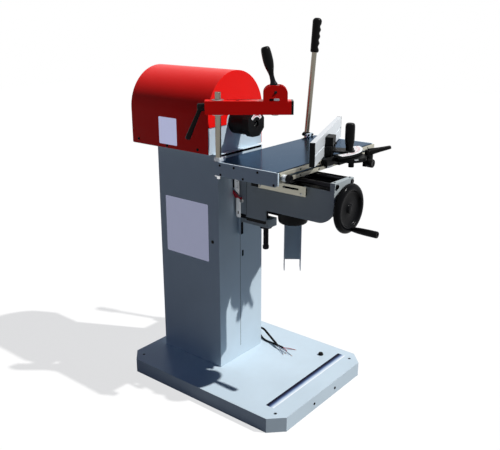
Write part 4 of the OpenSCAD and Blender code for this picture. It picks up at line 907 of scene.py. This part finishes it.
# Painted shade in the carrier's slot
carrierShadeShape = roundedRect((holeY - 2.2, holeY + 2.2), (holeZ - 6, holeZ + 6), 2.1)
addPiece("carrierHoleShade", uprightPlate(carrierShadeShape, carrierX - 1.05, 0.2), "knee", "seamAndHoleShade")
addFixings("carrierWasher", "knee", "brightSteel", leftWay, (washer, 9, 3, carrierForm["washer"]),
           [(carrierX, *carrierForm["bolt"])])
addFixings("carrierBolt", "knee", "plainSteel", leftWay, (hexBolt, 11, 4),
           [(carrierX - carrierForm["washer"], *carrierForm["bolt"])])
pointerLeaf = [(20.5, 733), (8, 717), (-5, 721), (-16, 715), (-16, 722), (-5, 728), (16, 746), (20.5, 742)]
pointerFoot = plainRect((-16, -10), (716, 722))
pointer = [uprightPlate(pointerLeaf, carrierForm["leafX"], 1),
           uprightPlate(pointerFoot, carrierX, carrierForm["footDeep"])]
addPiece("heightPointer", merge(pointer), "knee", "redFilm")

# Dark lines: the column's seam, painted shade in its oval slot, a dark band down the left of the rail's front, the
# knee's seam, and a painted shadow in the gap over the motor tray
darkLines = {
    "columnSeam": ("stand", centredRect(0.9, 245, 0.5), (-6, 22, 345), frontWay, 0.15),
    # painted shade in the oval slot
    "columnSlotShade": ("stand", centredRect(4.8, 13, 4.6), (9, 22, 485), frontWay, 0.2),
    # a dark band down the left of the rail's front
    "railDarkBand": ("stand", centredRect(6.5, 147, 0.5), (-19, 2, 719.5), frontWay, 0.12),
    "kneeSeam": ("knee", centredRect(0.7, 74, 0.5), (-60, -53.6, 737), leftWay, 0.15),
    # painted shadow in the gap over the motor tray
    "trayGapShadow": ("stand", roundedRect((-120, 119), (876, 884.6), 0.5), (0, 22, 0), frontWay, 0.15),
}
for name, (body, *settings) in darkLines.items():
    addFilm(name, body, "seamAndHoleShade", *settings)

# Cover on the column's back
coverForm = {"place": (0, 322, 420), "half": (92, 300), "thick": 1.6, "screwX": (-80, 80),
             "screwZ": (132, 420, 708)}
cover = slab(centredRect(*coverForm["half"], 10), 0, coverForm["thick"], 0.6, 2)
cover = placed(cover, coverForm["place"], facing(backWay))
addPiece("columnCover", cover, "stand", "standPaint")
coverFace = coverForm["place"][1] + coverForm["thick"]
addFixings("coverScrews", "stand", "blackSteel", backWay, (domeScrew, 4.6, 3),
           [(x, coverFace, z) for x in coverForm["screwX"] for z in coverForm["screwZ"]])

# Nut and plate on the clamp post's foot
footForm = {"nut": 826, "nutSize": (25, 13), "plate": (877, 891)}
footRod = [(0, 815), (5.4, 815), (7, 816.6), (7, 826), (9, 838), (9, 868.6), (0, 868.6)]
addPiece("postFoot", merge([
    seat(turned(footRod, 40), (*armForm["post"], 0)),
    seat(hexBolt(*footForm["nutSize"]), (*armForm["post"], footForm["nut"]))]), "table", "brightSteel")
plate = slab(roundedRect((-176, -143), (-30, -5), 1.5), *footForm["plate"], 0.8, 2)
addPiece("postPlate", plate, "table", "fenceMetal")

# Folded lip, a black film on the slot strips' left end that is painted shade in the slot's opening, and both end
# plates of the table
lipForm = {"front": -276, "x": (-178.8, -171), "y": (-276.6, -268), "z": (834, 876.6)}
lip = slab(roundedRect(lipForm["x"], lipForm["z"], 1), 0, 1.6, 0.4, 2)
lip = placed(lip, (0, lipForm["front"], 0), facing(frontWay))
lipSide = uprightPlate(roundedRect(lipForm["y"], lipForm["z"], 1), -178, 0.8)
addPiece("endLip", merge([lip, lipSide]), "table", "standPaint")
addFilm("stripEndShade", "table", "gripPlastic", roundedRect((-171, -163), (846, 874), 1), (0, lipForm["front"], 0),
        frontWay, 0.4)
ends = [uprightPlate(roundedRect((-268, -4), (829, 877), 1), x, 6) for x in (-172, 442)]
addPiece("endPlates", merge(ends), "table", "standPaint", "table_ends")

# Black sheet on the knee's top and black strips in the gap under it, both painted shade; the knee's side guard; and
# painted shade behind the depth strip's slot
# painted shade on the knee's top
addFilm("kneeTopShade", "knee", "gripPlastic", roundedRect((-58, 58), (-398, -60), 1), (0, 0, 814), upWay, 0.3)
guard = uprightPlate(roundedRect((-400, -70), (790, 838), 4), 61.5, 1.5)
addPiece("kneeGuard", guard, "knee", "gripPlastic")
# painted shade behind the depth strip's slot
addFilm("slotShade", "knee", "seamAndHoleShade", centredRect(38, 10, 1), (-60, -259, 806), leftWay, 0.6)
# black strips along the gap under the knee: painted shade of that gap
gapShadeForm = {"half": 4, "top": 660, "rows": [(55.5, (-136, -52), 648), (34, (-50, 0), 644)]}
gapShadeStrips = [slab(roundedRect((side * x - gapShadeForm["half"], side * x + gapShadeForm["half"]), y, 1), low,
               gapShadeForm["top"], 0.4, 1) for x, y, low in gapShadeForm["rows"] for side in (-1, 1)]
addPiece("kneeGapShade", merge(gapShadeStrips), "knee", "gripPlastic")

# Painted shade in a slot on the clamp arm's ear, a painted glint of the pin inside it, and painted shade in the hole
# in the arm's top
earPlace, earWay = onArm(0, -armForm["half"], 0), tuple(-armSide)
addFilm("earSlotShade", "clamp_arm", "seamAndHoleShade", roundedRect((170, 184), (1083.6, 1090.5), 3), earPlace, earWay, 0.3)
addFilm("earPinGlint", "clamp_arm", "whiteFilm", roundedRect((184, 203), (1083.6, 1091), 3), earPlace, earWay, 0.3)
addFilm("armHoleShade", "clamp_arm", "seamAndHoleShade", arc(0, 0, 6.5, 0, 350, 35), onArm(65, 0, 1082.5), upWay, 0.15)
print("fixings set")


# Pale floor, white surround, a key from the front right, a cool fill from the front and a low lamp behind
lamps = {  # direction, strength, angle and colour
    "key": ((0.282, -0.532, 0.798), 4.1, 0.9, (1.0, 0.985, 0.955)),
    "fill": ((0.50, -0.85, 0.10), 0.12, 70.0, (0.52, 0.77, 1.0)),
    "back": ((0.62, 0.78, 0.04), 1.0, 4.0, (0.96, 0.98, 1.0)),
}
studio = {"skyColour": (0.16, 0.36, 1.0), "sky": 0.065, "floorHalf": 9000, "floorDrop": 0.5, "floorColour": 0.97,
          "floorGlow": 0.72, "floorBounce": 0.155}


def addLamp(name, way, energy, angle, colour):
    lamp = bpy.data.lights.new(name, "SUN")
    lamp.energy = energy
    lamp.angle = radians(angle)
    lamp.color = colour
    holder = addObject(name, lamp)
    holder.rotation_euler = Vector(way).to_track_quat("Z", "Y").to_euler()
    return holder


# One for rays that come from the camera, a gloss or a clear surface
def seenDirectly(wire):
    kinds = [wire.add("LightPath", {}, "Is " + kind + " Ray") for kind in ("Camera", "Glossy", "Transmission")]
    return (kinds[0] + kinds[1] + kinds[2]).between(0.0, 1.0)


def addStudio():
    for name, settings in lamps.items():
        addLamp(name + "Lamp", *settings).visible_glossy = name != "back"
    world = bpy.data.worlds.new("surround")
    scene.world = world
    world.use_nodes = True
    tree = world.node_tree
    seen = seenDirectly(Wire(tree))
    back = tree.nodes["Background"]
    tree.links.new(seen.blend(studio["skyColour"], (1.0, 1.0, 1.0)).socket, back.inputs["Color"])
    tree.links.new((studio["sky"] + seen * (1.0 - studio["sky"])).socket, back.inputs["Strength"])

    half = studio["floorHalf"]
    corners = [(-half, -half, 0), (half, -half, 0), (half, half, 0), (-half, half, 0)]
    floorMesh = meshFrom(corners, [(0, 1, 2, 3)])
    floor = addObject("floor", floorMesh)
    floor.location.z = -studio["floorDrop"] * mm
    ground = bpy.data.materials.new("paleFloor")
    ground.use_nodes = True
    tree = ground.node_tree
    wire = Wire(tree)
    level, bounce = studio["floorColour"], studio["floorBounce"]
    plain = wire.add("BsdfDiffuse", {"Color": (level, level, level, 1)})
    glow = wire.add("Emission", {"Color": (1, 1, 1, 1), "Strength": 1.0})
    dull = wire.add("BsdfDiffuse", {"Color": (bounce, bounce, bounce, 1)})
    shown = wire.add("MixShader", {0: studio["floorGlow"], 1: plain, 2: glow})
    mixed = wire.add("MixShader", {0: seenDirectly(wire), 1: dull, 2: shown})
    tree.nodes.remove(tree.nodes["Principled BSDF"])
    tree.links.new(mixed.socket, tree.nodes["Material Output"].inputs["Surface"])
    floorMesh.materials.append(ground)


addStudio()
print("studio lit")
